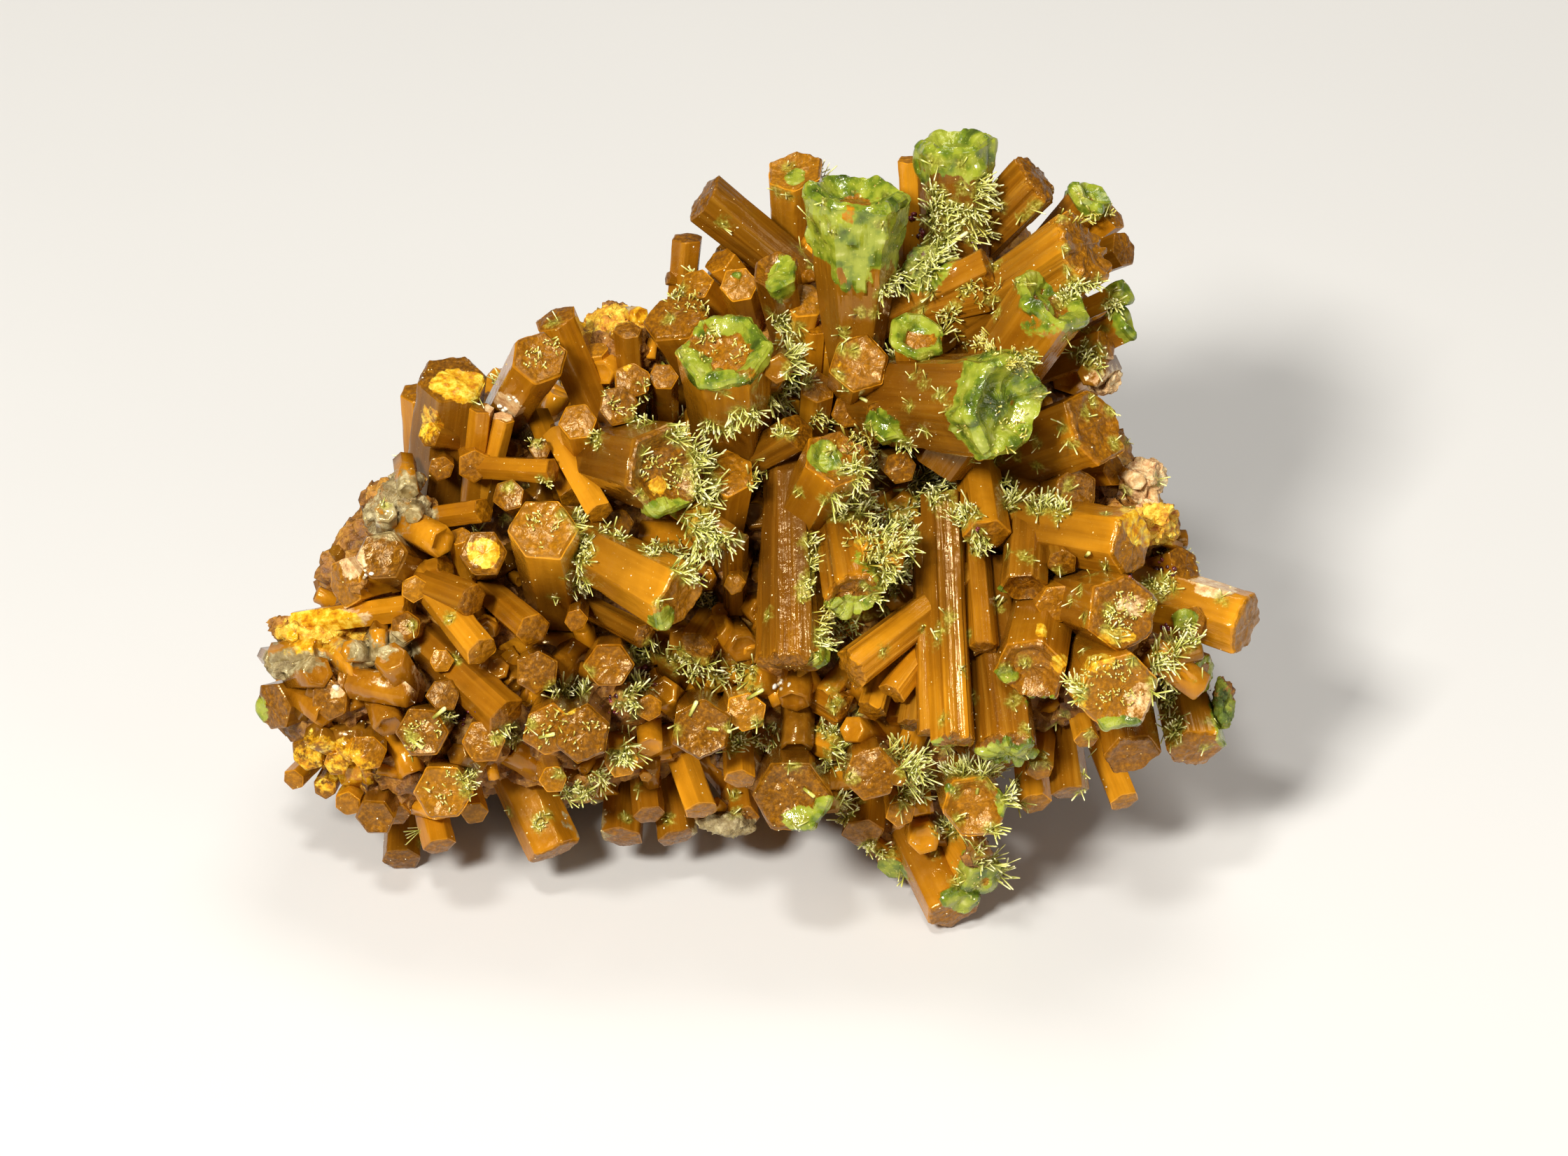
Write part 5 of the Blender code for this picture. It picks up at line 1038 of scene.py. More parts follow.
def prism_points(blank, radius, root, length, kind, ribs, stretch, tilt, salt):
    """Corners of one crystal in millimetres, its end at the origin and its root below."""
    turn = blank["angle"] / (math.pi / 3.0) - 0.5
    side = np.floor(turn + 1e-6).astype(int)
    part = turn - side
    near_corner = np.minimum(np.abs(part), np.abs(1.0 - part))
    part = part - EDGE_DRAW * np.sin(math.tau * part)
    ways = [math.tau * (k + 0.5) / 6.0 for k in range(6)]
    rays = [(math.cos(way), math.sin(way)) for way in ways]
    hexagon = np.array(rays) * np.array(stretch)[:, None]
    rim = hexagon[side % 6] * (1.0 - part)[:, None] + hexagon[(side + 1) % 6] * part[:, None]
    rim *= (1.0 - EDGE_BEVEL * np.exp(-((near_corner / EDGE_WIDTH) ** 2)))[:, None]
    round_rim = ROUND_END * np.stack([np.cos(blank["angle"]), np.sin(blank["angle"])], axis=1)
    roundness = np.clip((ROUND_FROM - blank["rho"]) / ROUND_FADE, 0.0, 1.0)[:, None]
    rim = rim * (1.0 - roundness) + round_rim * roundness

    fall = blank["level"] ** RING_CROWDING
    width = radius * (1.0 - fall) + root * fall
    whole = rim * width[:, None]
    along = np.stack([whole[:, 0], whole[:, 1], -length * fall], axis=1)
    rib = smooth_noise(along * RIB_GRAIN + salt)
    rib = np.clip((rib - 0.5) * 3.2 + 0.5, 0.0, 1.0)
    fine_rib = smooth_noise(along * FINE_RIB_GRAIN + salt * 1.7)
    swell = smooth_noise(along * SWELL_GRAIN + salt * 2.1)
    cut = ribs * (RIB_CUT * rib + FINE_RIB_CUT * fine_rib) + SWELL_CUT * swell
    chips = smooth_noise(along * CHIP_GRAIN + salt * 0.6)
    edge = np.exp(-((near_corner / CHIP_WIDTH) ** 2))
    cut = cut + CHIP_CUT * edge * np.clip((chips - 0.62) * 5.0, 0.0, 1.0)

    rho = blank["rho"]
    flat = whole * (rho * (1.0 - cut * rho**2))[:, None]
    spot = np.column_stack([flat * 1.6, np.full(len(flat), 1.3)]) + salt
    wander = (smooth_noise(spot) - 0.5) * END_WANDER * (1.0 - rho) ** 0.5 * (rho < 0.95)
    height = end_height(np.clip(rho + wander, 0.0, 1.0), radius, kind)
    grit = rough_noise(np.column_stack([flat * 2.4, np.full(len(flat), 4.7)]) + salt)
    coarse = min(END_GRIT, END_GRIT_BY_RADIUS * radius)
    height += np.where(blank["end"], (grit - 0.5) * coarse * (rho < 0.99), 0.0)
    ragged = radius * (BROKEN_RIM + BROKEN_RIBS * ribs * rib * (1.0 if ribs > 0.5 else 0.4)) * rho**2
    lean = (flat[:, 0] * tilt[0] + flat[:, 1] * tilt[1]) * (1.0 - fall)
    rise = np.where(blank["end"], height, -length * fall)
    rise = rise + lean - ragged * np.exp(-blank["level"] * 10.0)
    return np.column_stack([flat, rise]), rib


def paint(places, strokes, rough=0.55):
    """How much of a finish each place has: all of it in a stroke, none past its ragged edge."""
    ragged = (rough_noise(places * 1.9) - 0.5) * rough
    value = np.zeros(len(places))
    for middle, half, strength in strokes:
        away = np.sqrt((((places - np.array(middle)) / np.array(half)) ** 2).sum(axis=1)) + ragged
        value = np.maximum(value, strength * np.clip((1.10 - away) / 0.20, 0.0, 1.0))
    return value


def end_coat(local, blank, coat):
    """How green each corner is where the green caps the whole end of a crystal."""
    reach, bare = coat
    ragged = rough_noise(local * 1.3 + 2.9) - 0.5
    down = -local[:, 2] + ragged * (0.5 + 0.9 * reach)
    green = np.clip((reach - down) / 0.25, 0.0, 1.0)
    hollow = np.clip((bare - blank["rho"] - ragged * 0.35) / 0.08, 0.0, 1.0)
    return green * (1.0 - np.where(blank["end"], hollow, 0.0))


def carry_paint(mesh, points, cap=None):
    """Stores where the green, yellow, pale and grey finishes lie, and returns the green."""
    places = seen_from_front(points)
    green = paint(places, GREEN)
    if cap is not None:
        green = np.maximum(green, cap)
    green = green * (1.0 - paint(places, BARE))
    carry(mesh, "green", green)
    carry(mesh, "yellow", paint(places, YELLOW))
    carry(mesh, "pale", paint(places, PALE))
    carry(mesh, "grey", paint(places, GREY))
    return green


def grow_crystal(blanks, tip, axis, radius, root, length, turn, kind, ribs, coat, rng, serial):
    """One crystal, copied from the blank of its size and drawn to its own shape."""
    stretch = [1.0 + rng.uniform(-SIDE_JITTER, SIDE_JITTER) for _ in range(6)]
    tilt = [rng.uniform(-1.0, 1.0) * END_TILT for _ in range(2)]
    if radius >= LARGE_FROM:
        blank = blanks["large"]
    elif radius >= MEDIUM_FROM or ribs > RIBS_FROM:
        blank = blanks["medium"]
    else:
        blank = blanks["small"]
    crystal = blank["bar"].copy()
    crystal.data = blank["bar"].data.copy()
    bpy.context.scene.collection.objects.link(crystal)
    salt = 3.7 + serial * 1.618
    local, rib = prism_points(blank, radius, root, length, kind, ribs, stretch, tilt, salt)
    place = np.array(axis_frame(tip, axis, turn))
    points = local * MM @ place[:3, :3].T + place[:3, 3]
    mesh = crystal.data
    move_corners(mesh, points)
    green = carry_paint(mesh, points, end_coat(local, blank, coat) if coat else None)
    if green.max() > 0.0:
        lumps = 0.75 * smooth_noise(local * 1.25 + salt) + 0.25 * smooth_noise(local * 3.0 + salt)
        swelling = green * (GREEN_COAT + GREEN_LUMPS * np.clip(lumps - 0.38, 0.0, 1.0))
        points = points + normals_of(mesh) * (swelling * MM)[:, None]
    points[:, 2] = np.maximum(points[:, 2], 0.0)
    move_corners(mesh, points)
    count = len(points)
    carry(mesh, "grain", local + salt * 5.0)
    carry(mesh, "tone", np.full(count, random.Random(serial).random()))
    carry(mesh, "worn", np.where(blank["end"] & (blank["rho"] < 0.93), 1.0, 0.0))
    carry(mesh, "rib", rib * min(1.0, ribs))
    # Painted shade: the sides darken towards the root, where the prism sinks among the others, and thick
    # prisms darken below the rim.
    thick = THICK_DEPTH if radius >= LARGE_FROM else 0.0
    deep = blank["level"] ** RING_CROWDING * length / ROOT_SHADE_LENGTH
    deep = deep + thick * np.minimum(blank["level"] * 6.0, 1.0)
    carry(mesh, "depth", np.where(blank["end"], 0.0, np.clip(deep, 0.0, 1.0)))
    return crystal


def face_groups():
    return {
        "crown": CROWN,
        "upper": UPPER_FACE,
        "left": LEFT_FACE,
        "west": WEST_LOBE,
        "lower": LOWER_FACE,
        "fan": STRIATED_FAN,
        "east": EAST_LOBE,
    }


def grow_all_crystals():
    """Every group of crystals as one joined piece each, in the order in which the solid grew them."""
    blanks = {
        "large": crystal_blank("large_blank", *LARGE_BLANK),
        "medium": crystal_blank("medium_blank", *MEDIUM_BLANK),
        "small": crystal_blank("small_blank", *SMALL_BLANK),
    }
    pieces = []
    rng = random.Random(FACE_SEED)
    serial = 0
    for group, rows in face_groups().items():
        grown = []
        for number, (tip, radius, root, length, lean, turn, kind) in enumerate(rows):
            ribs = OWN_RIBS.get((group, number), RIBS[group])
            coat = END_COATS.get((group, number))
            facts = (as_seen(*tip), crystal_axis(*lean), radius, root, length, turn, kind, ribs, coat)
            grown.append(grow_crystal(blanks, *facts, rng, serial))
            serial += 1
        pieces.append(joined(grown, f"crystals_{group}"))
    rng = random.Random(BACK_SEED + 1)
    grown = []
    for number, (tip, axis, radius, turn) in enumerate(back_sites()):
        kind = "flat" if number % 3 else "plain"
        facts = (tip, axis, radius, radius * BACK_TAPER, BACK_LENGTH, turn, kind, RIBS["back"], None)
        grown.append(grow_crystal(blanks, *facts, rng, serial))
        serial += 1
    pieces.append(joined(grown, "crystals_back"))
    for blank in blanks.values():
        drop(blank["bar"])
    for piece in pieces:
        shade(piece, CRYSTAL_CREASE)
    return pieces


def broken_lump(name, middle, half, points, swell, rng):
    """The hull of points scattered over an ellipsoid, as the solid has it."""
    mesh = bpy.data.meshes.new(name)
    places = []
    for number in range(points):
        scale = swell * (1.0 + rng.uniform(-MATRIX_ROUGHNESS, MATRIX_ROUGHNESS))
        unit = on_spiral(number, 1.0 - 2.0 * (number + 0.5) / points)
        places.append(as_seen(*[m + h * u * scale for m, h, u in zip(middle, half, unit)]))
    mesh.from_pydata(places, [], [])
    lump = placed(name, mesh)
    select_only(lump)
    bpy.ops.object.mode_set(mode="EDIT")
    bpy.ops.mesh.select_all(action="SELECT")
    bpy.ops.mesh.convex_hull()
    bpy.ops.mesh.normals_make_consistent(inside=False)
    bpy.ops.object.mode_set(mode="OBJECT")
    return lump


def lay_rock(name, lumps, voxel, rise, pitch):
    """Runs lumps together into one craggy body."""
    rock = joined(lumps, name)
    melt = rock.modifiers.new("run together", "REMESH")
    melt.mode = "VOXEL"
    melt.voxel_size = voxel
    bpy.ops.object.modifier_apply(modifier=melt.name)
    mesh = rock.data
    points = corners_of(mesh)
    places = points / MM * pitch
    crag = 0.25 - np.abs(rough_noise(places * 1.6) - 0.5) * 2.0
    ledges = np.floor(rough_noise(places * 0.75 + 9.1) * LEDGES) / LEDGES - 0.5
    pits = np.clip((smooth_noise(places * 1.5 + 2.2) - 0.60) / 0.16, 0.0, 1.0)
    grit = rough_noise(places * 5.0 + 5.3) - 0.5
    lift = (crag * CRAG_LIFT + ledges * LEDGE_LIFT - pits * PIT_LIFT + grit) * rise
    points = points + normals_of(mesh) * lift[:, None]
    points[:, 2] = np.maximum(points[:, 2], 0.0)
    move_corners(mesh, points)
    carry_paint(mesh, points)
    shade(rock, ROCK_CREASE)
    return rock


def lay_matrix(voxel, rise):
    """The matrix rock and the crusts on it, from the same scattered points as the solid."""
    rng = random.Random(MATRIX_SEED)
    rock = []
    for number, (middle, half) in enumerate(MATRIX):
        rock.append(broken_lump(f"matrix_{number}", middle, half, MATRIX_POINTS, 1.0, rng))
    knobs = []
    for number, (middle, half) in enumerate(CRUSTS):
        knobs.append(broken_lump(f"crust_{number}", middle, half, CRUST_POINTS, 1.0, rng))
    rng = random.Random(TUFT_SEED)
    for number, (middle, radius) in enumerate(TUFTS):
        knobs.append(broken_lump(f"tuft_{number}", middle, (radius,) * 3, TUFT_POINTS, 0.72, rng))
    return [
        lay_rock("matrix_rock", rock, voxel, rise, 0.55),
        lay_rock("matrix_crusts", knobs, voxel * 0.5, rise * 0.30, 1.6),
    ]


def needle_blank(name, columns, waist):
    """A thin rod one unit long and one across, with a blunt chamfered tip and a narrower foot."""
    deselect_all()
    bpy.ops.mesh.primitive_cylinder_add(vertices=columns, radius=0.5, depth=1.0, location=(0.0, 0.0, 0.5))
    rod = bpy.context.object
    rod.name = name
    bpy.ops.object.transform_apply(location=True, rotation=True, scale=True)
    bpy.ops.object.mode_set(mode="EDIT")
    bpy.ops.mesh.select_mode(type="FACE")
    select_where(rod, "faces", lambda face: face.normal.z < -0.9)
    bpy.ops.transform.resize(value=(waist, waist, 1.0))
    select_where(rod, "faces", lambda face: face.normal.z > 0.9)
    bpy.ops.mesh.inset(thickness=0.18, depth=0.10)
    bpy.ops.mesh.poke()
    bpy.ops.object.mode_set(mode="OBJECT")
    return rod


def repeat_blank(name, blank, places, sizes, carried):
    """One joined mesh of a blank at every place. Each carried value is one number a copy."""
    mesh = blank.data
    points = corners_of(mesh)
    loops = np.empty(len(mesh.loops), dtype=int)
    mesh.loops.foreach_get("vertex_index", loops)
    starts = np.empty(len(mesh.polygons), dtype=int)
    mesh.polygons.foreach_get("loop_start", starts)
    count = len(places)
    drawn = []
    for place, size in zip(places, sizes):
        matrix = np.array(place)
        drawn.append(points * size @ matrix[:3, :3].T + matrix[:3, 3])
    made = bpy.data.meshes.new(name)
    made.vertices.add(count * len(points))
    made.loops.add(count * len(loops))
    made.polygons.add(count * len(starts))
    copies = np.arange(count)[:, None]
    made.loops.foreach_set("vertex_index", (loops[None, :] + copies * len(points)).ravel())
    made.polygons.foreach_set("loop_start", (starts[None, :] + copies * len(loops)).ravel())
    made.vertices.foreach_set("co", np.concatenate(drawn).astype(np.float32).ravel())
    made.update(calc_edges=True)
    made.validate()
    top = points[:, 2].max()
    carry(made, "along", np.tile(np.clip(points[:, 2] / top, 0.0, 1.0), count))
    for key, values in carried.items():
        carry(made, key, np.repeat(np.array(values, dtype=float), len(points)))
    return placed(name, made)


class Ground:
    """What stands already, for finding where a line of sight meets it."""

    def __init__(self, pieces):
        graph = bpy.context.evaluated_depsgraph_get()
        self.trees = [(piece.name, BVHTree.FromObject(piece, graph)) for piece in pieces]

    def meet(self, start, direction):
        """Place, outward direction and piece name of the nearest surface, or None."""
        best = None
        for name, tree in self.trees:
            spot, normal, _, distance = tree.ray_cast(start, direction)
            if spot is not None and (best is None or distance < best[3]):
                best = (spot, normal, name, distance)
        if best is None:
            return None
        spot, normal, name, _ = best
        if normal.dot(direction) > 0.0:
            normal = -normal
        return spot, normal.normalized(), name

    def meet_from_front(self, across, up):
        eye = on_table(0.0, 0.0, SHARP_OUT + VIEW_DISTANCE)
        target = on_table(across, up, SHARP_OUT)
        return self.meet(eye, (target - eye).normalized())


def random_direction(rng):
    while True:
        aim = Vector((rng.uniform(-1.0, 1.0), rng.uniform(-1.0, 1.0), rng.uniform(-1.0, 1.0)))
        if 0.05 < aim.length < 1.0:
            return aim.normalized()


def stand(spot, aim, turn, sunk):
    """A matrix that stands a blank on a spot, pointing this way."""
    turned = aim.to_track_quat("Z", "Y").to_matrix().to_4x4()
    return Matrix.Translation(spot - aim * sunk) @ turned @ Matrix.Rotation(turn, 4, "Z")


def spread_spray(found, spot, normal, lean, length, thickness, yellow, amount, spread, rng):
    """Adds one spray: needles that fan out from almost the same foot."""
    with_normal, with_lean, with_view = SPRAY_AIM
    aim = normal * with_normal + lean * with_lean + face_direction(0.0, 0.0, 1.0) * with_view
    aim.normalize()
    for _ in range(amount):
        way = (aim + random_direction(rng) * spread).normalized()
        if way.dot(normal) < 0.10:
            way = (way - normal * (way.dot(normal) - 0.15)).normalized()
        foot = spot + random_direction(rng) * SPRAY_FOOT * MM
        foot = foot - normal * (foot - spot).dot(normal)
        long = length * rng.uniform(0.55, 1.20) * MM
        wide = thickness * rng.uniform(0.75, 1.35) * MM
        place = stand(foot, way, rng.uniform(0.0, 6.28), NEEDLE_SUNK * MM)
        note(found, place, (wide, wide, long), rng.random(), yellow + rng.uniform(-0.25, 0.25))
    if yellow < MOSS_BELOW:
        found["feet"].append(spot)


def nothing_found():
    return {"places": [], "sizes": [], "tone": [], "yellow": [], "feet": []}


def note(found, place, size, tone, yellow):
    """Adds one copy: where it stands, its size, its own tone and how yellow it is."""
    found["places"].append(place)
    found["sizes"].append(size)
    found["tone"].append(tone)
    found["yellow"].append(min(1.0, max(0.0, yellow)))


def grow_found(name, blank, found, finish):
    """Repeats the blank at every place that was noted, as one piece."""
    carried = {"tone": found["tone"], "yellow": found["yellow"]}
    settle(repeat_blank(name, blank, found["places"], found["sizes"], carried), finish)


def looks_from_behind(ground, places, lowest_y, lowest_z, scatter, rng):
    """What is met from the sides and back, with the way each look comes from."""
    middle = on_table(*LOOK_AT)
    for number in range(places):
        away = Vector(on_spiral(number, 1.0 - 2.0 * (number + 0.5) / places))
        if away.y < lowest_y or away.z < lowest_z:
            continue
        start = middle + away * LOOK_FROM * MM + random_direction(rng) * scatter * MM
        yield away, ground.meet(start, -away)


def find_needles(ground, density, length_scale, thickness):
    """Where every needle of the front sprays stands."""
    rng = random.Random(NEEDLE_SEED)
    found = nothing_found()
    for middle, half, sprays, lean, length, yellow in SPRAYS:
        lean_way = face_direction(lean[0], lean[1], 0.35) * math.hypot(*lean) if any(lean) else Vector()
        for _ in range(max(1, round(sprays * density))):
            angle = rng.uniform(0.0, math.tau)
            reach = math.sqrt(rng.random())
            across = middle[0] + half[0] * reach * math.cos(angle)
            up = middle[1] + half[1] * reach * math.sin(angle)
            met = ground.meet_from_front(across, up)
            if met is None:
                continue
            spot, normal, _ = met
            amount = rng.randint(3, 7)
            size = length * length_scale
            spread_spray(found, spot, normal, lean_way, size, thickness, yellow, amount, 0.80, rng)
    for (across, up), degrees, length in RODS:
        met = ground.meet_from_front(across, up)
        if met is None:
            continue
        spot, normal, _ = met
        angle = math.radians(degrees)
        way = face_direction(math.cos(angle), math.sin(angle), 0.15)
        way = (way - normal * way.dot(normal) + normal * 0.12).normalized()
        place = stand(spot + normal * 0.06 * MM, way, 0.3, 0.05 * MM)
        note(found, place, (ROD_WIDTH * MM, ROD_WIDTH * MM, length * MM), rng.random(), 0.45)
    return found


def find_stray_needles(ground, count, thickness):
    """Single needles dusted over the face, and small sprays in the hollows of the sides and back."""
    rng = random.Random(STRAY_SEED)
    found = nothing_found()
    while len(found["places"]) < count:
        across, up = [rng.uniform(*span) for span in STRAY_WINDOW]
        met = ground.meet_from_front(across, up)
        if met is None or rng.random() > 0.35 + 0.03 * (across + 10.0):
            continue
        spot, normal, _ = met
        lean = random_direction(rng) * 0.4
        spread_spray(found, spot, normal, lean, 0.55, thickness, 0.35, rng.randint(1, 3), 0.9, rng)
    for away, met in looks_from_behind(ground, BACK_SPRAY_PLACES, -0.25, -0.55, 6.0, rng):
        if met is None or met[0].z < ABOVE_TABLE * MM or rng.random() > 0.5:
            continue
        spot, normal, _ = met
        for _ in range(rng.randint(1, 4)):
            place = spot + random_direction(rng) * 0.8 * MM
            again = ground.meet(place + away * 8.0 * MM, -away)
            clear = again is not None and again[0].z > 1.0 * MM
            if clear and within_outline(again[0], 0.8):
                lean = random_direction(rng) * 0.3
                amount = rng.randint(5, 9)
                spread_spray(found, again[0], again[1], lean, 0.75, thickness, 0.2, amount, 0.75, rng)
    return found


def grow_needles(name, found, finish):
    blank = needle_blank("needle_blank", 5, 0.7)
    grow_found(name, blank, found, finish)
    drop(blank)


def small_prism_blank(name):
    """A short six-sided crystal with a bevelled end, for the many small ones between the large."""
    deselect_all()
    bpy.ops.mesh.primitive_cylinder_add(vertices=6, radius=1.0, depth=1.0, location=(0.0, 0.0, 0.5))
    prism = bpy.context.object
    prism.name = name
    bpy.ops.object.transform_apply(location=True, rotation=True, scale=True)
    bpy.ops.object.mode_set(mode="EDIT")
    bpy.ops.mesh.select_mode(type="FACE")
    select_where(prism, "faces", lambda face: face.normal.z > 0.9)
    bpy.ops.mesh.inset(thickness=0.10, depth=0.04)
    bpy.ops.mesh.inset(thickness=0.28, depth=-0.06)
    bpy.ops.object.mode_set(mode="OBJECT")
    return prism


def grow_small_prisms(ground, count, finish):
    """Small ochre crystals in the gaps, on the matrix and over the sides and back."""
    rng = random.Random(SMALL_PRISM_SEED)
    places, sizes, tone, seeds = [], [], [], []

    def add(spot, normal, lean, radius, length):
        way = (normal * 0.5 + lean + random_direction(rng) * 0.75).normalized()
        if way.dot(normal) < 0.2:
            way = (way + normal * 0.5).normalized()
        if not within_outline(spot + way * length * 0.55 * MM, radius):
            return
        places.append(stand(spot, way, rng.uniform(0.0, 6.28), length * 0.45 * MM))
        sizes.append((radius * MM, radius * MM, length * MM))
        tone.append(rng.random())
        seeds.append(rng.uniform(0.0, 40.0))

    front = face_direction(0.0, 0.0, 1.0)
    tries = 0
    while len(places) < count and tries < count * 40:
        tries += 1
        met = ground.meet_from_front(*[rng.uniform(*span) for span in SMALL_PRISM_WINDOW])
        if met is None or met[0].z < 1.2 * MM:
            continue
        spot, normal, name = met
        if not name.startswith("matrix"):
            continue
        radius = rng.choice(FRONT_RADII)
        add(spot, normal, front * 0.15, radius, radius * rng.uniform(2.6, 4.6))
    for _, met in looks_from_behind(ground, count * BACK_PRISM_PLACES, -0.3, -0.6, 7.0, rng):
        if met is None or met[0].z < ABOVE_TABLE * MM or not met[2].startswith("matrix"):
            continue
        crowding = smooth_noise(np.array([met[0] / MM]) * 0.26 + 4.4)[0]
        if rng.random() > (crowding - 0.42) * 6.0:
            continue
        radius = rng.choice(BACK_RADII)
        add(met[0], met[1], met[1] * 0.5, radius, radius * rng.uniform(2.2, 4.2))
    blank = small_prism_blank("small_prism_blank")
    carried = {"tone": tone, "seed": seeds}
    piece = repeat_blank("small_prisms", blank, places, sizes, carried)
    drop(blank)
    points = corners_of(piece.data)
    points[:, 2] = np.maximum(points[:, 2], 0.0)
    move_corners(piece.data, points)
    carry(piece.data, "grain", points / MM)
    green = carry_paint(piece.data, points)
    carry(piece.data, "green", green * 0.6)
    settle(piece, finish)
    return piece


def grow_grains(ground, count):
    """Dust-fine bright grains over the face, partly painted glints, and the few dark and pale specks."""
    rng = random.Random(GRAIN_SEED)
    deselect_all()
    bpy.ops.mesh.primitive_ico_sphere_add(subdivisions=1, radius=0.5)
    blank = bpy.context.object
    bpy.ops.object.mode_set(mode="EDIT")
    bpy.ops.mesh.select_mode(type="FACE")
    select_where(blank, "faces", lambda face: face.normal.z < -0.5)
    bpy.ops.transform.resize(value=(1.3, 1.3, 0.6))
    bpy.ops.object.mode_set(mode="OBJECT")
    dust = nothing_found()
    tries = 0
    while len(dust["places"]) < count and tries < count * 8:
        tries += 1
        met = ground.meet_from_front(*[rng.uniform(*span) for span in GRAIN_WINDOW])
        if met is None:
            continue
        spot, normal, _ = met
        size = rng.uniform(0.035, 0.085) * MM
        place = stand(spot, normal, rng.uniform(0.0, 6.28), 0.0)
        sizes = (size * rng.uniform(0.7, 1.4), size, size * rng.uniform(0.5, 1.0))
        note(dust, place, sizes, rng.random(), rng.random())
    specks = {"wine": nothing_found(), "pale": nothing_found()}
    for (across, up), size, shade_name in SPECKS:
        for _ in range(4):
            met = ground.meet_from_front(across + rng.gauss(0.0, 0.12), up + rng.gauss(0.0, 0.12))
            if met is None:
                continue
            own = size * rng.uniform(0.55, 1.15) * MM
            way = (met[1] + random_direction(rng) * 0.6).normalized()
            sizes = (own, own * rng.uniform(0.6, 1.0), own * rng.uniform(0.6, 1.1))
            note(specks[shade_name], stand(met[0], way, 0.0, 0.0), sizes, rng.random(), rng.random())
    kinds = {"dust_grains": dust, "wine_specks": specks["wine"], "pale_specks": specks["pale"]}
    for name, found in kinds.items():
        grow_found(name, blank, found, grain_finish(*GRAIN_FINISHES[name]))
    drop(blank)


def carry_moss(pieces, feet):
    """Marks the surface close to the feet of the sprays, which is crusted with the same green."""
    tree = KDTree(len(feet))
    for number, foot in enumerate(feet):
        tree.insert(foot, number)
    tree.balance()
    for piece in pieces:
        points = corners_of(piece.data)
        moss = np.zeros(len(points))
        for number, point in enumerate(points):
            _, _, distance = tree.find(point)
            moss[number] = max(0.0, 1.0 - distance / (MOSS_REACH * MM))
        carry(piece.data, "moss", moss)


def shade_of(red, green, blue):
    """A colour as the eye names it, 0 to 255, turned into the light values that a finish takes."""
    linear = []
    for value in (red, green, blue):
        share = value / 255.0
        linear.append(share / 12.92 if share <= 0.04045 else ((share + 0.055) / 1.055) ** 2.4)
    return (*linear, 1.0)


def add_node(tree, kind, inputs=None, **settings):
    """Adds a node with its settings, its inputs numbers, colours or the outputs of other nodes."""
    node = tree.nodes.new(kind)
    for name, value in settings.items():
        setattr(node, name, value)
    for name, value in (inputs or {}).items():
        socket = node.inputs[name]
        if isinstance(value, bpy.types.NodeSocket):
            tree.links.new(value, socket)
        else:
            socket.default_value = value
    return node


def carried_value(tree, name, output="Fac"):
    """What the mesh carries under this name, a number unless Vector is asked for."""
    return add_node(tree, "ShaderNodeAttribute", attribute_name=name).outputs[output]


def noise(tree, place, scale, detail=3.0, roughness=0.55, distortion=0.0):
    inputs = {
        "Vector": place,
        "Scale": scale,
        "Detail": detail,
        "Roughness": roughness,
        "Distortion": distortion,
    }
    return add_node(tree, "ShaderNodeTexNoise", inputs).outputs["Fac"]


def stretched(tree, vector, scale):
    inputs = {"Vector": vector, "Scale": scale}
    return add_node(tree, "ShaderNodeMapping", inputs).outputs["Vector"]


def between(tree, value, low, high, out_low=0.0, out_high=1.0):
    """A value spread from one range to another and held there."""
    inputs = {"Value": value, "From Min": low, "From Max": high, "To Min": out_low, "To Max": out_high}
    node = add_node(tree, "ShaderNodeMapRange", inputs, clamp=True, interpolation_type="SMOOTHSTEP")
    return node.outputs["Result"]


def sums(tree, operation, first, second):
    node = add_node(tree, "ShaderNodeMath", {0: first, 1: second}, operation=operation, use_clamp=False)
    return node.outputs["Value"]


def colours(tree, value, stops):
    """A run of colours over a value from 0 to 1."""
    node = add_node(tree, "ShaderNodeValToRGB", {"Fac": value})
    ramp = node.color_ramp
    while len(ramp.elements) < len(stops):
        ramp.elements.new(0.5)
    for element, (at, colour) in zip(ramp.elements, stops):
        element.position = at
        element.color = colour
    return node.outputs["Color"]


def run_of(tree, value, *stops):
    """The same with each stop as its place and its colour as the eye names it."""
    return colours(tree, value, [(at, shade_of(*colour)) for at, *colour in stops])


def weighed(tree, *parts):
    """The sum of values, each times its weight."""
    total = None
    for value, weight in parts:
        term = sums(tree, "MULTIPLY", value, weight)
        total = term if total is None else sums(tree, "ADD", total, term)
    return total


def blend(tree, amount, first, second):
    node = add_node(tree, "ShaderNodeMix", data_type="RGBA", blend_type="MIX", clamp_factor=True)
    for socket, value in ((node.inputs[0], amount), (node.inputs[6], first), (node.inputs[7], second)):
        if isinstance(value, bpy.types.NodeSocket):
            tree.links.new(value, socket)
        else:
            socket.default_value = value
    return node.outputs[2]


def bumped(tree, height, distance, strength, under=None):
    inputs = {"Height": height, "Distance": distance, "Strength": strength}
    if under is not None:
        inputs["Normal"] = under
    return add_node(tree, "ShaderNodeBump", inputs).outputs["Normal"]


def new_finish(name):
    """A material, its nodes, its shader and the place on the object that its patterns follow."""
    material = bpy.data.materials.new(name)
    material.use_nodes = True
    tree = material.node_tree
    place = add_node(tree, "ShaderNodeTexCoord").outputs["Object"]
    return material, tree, tree.nodes["Principled BSDF"], place


def connect(tree, output, shader, name):
    tree.links.new(output, shader.inputs[name])


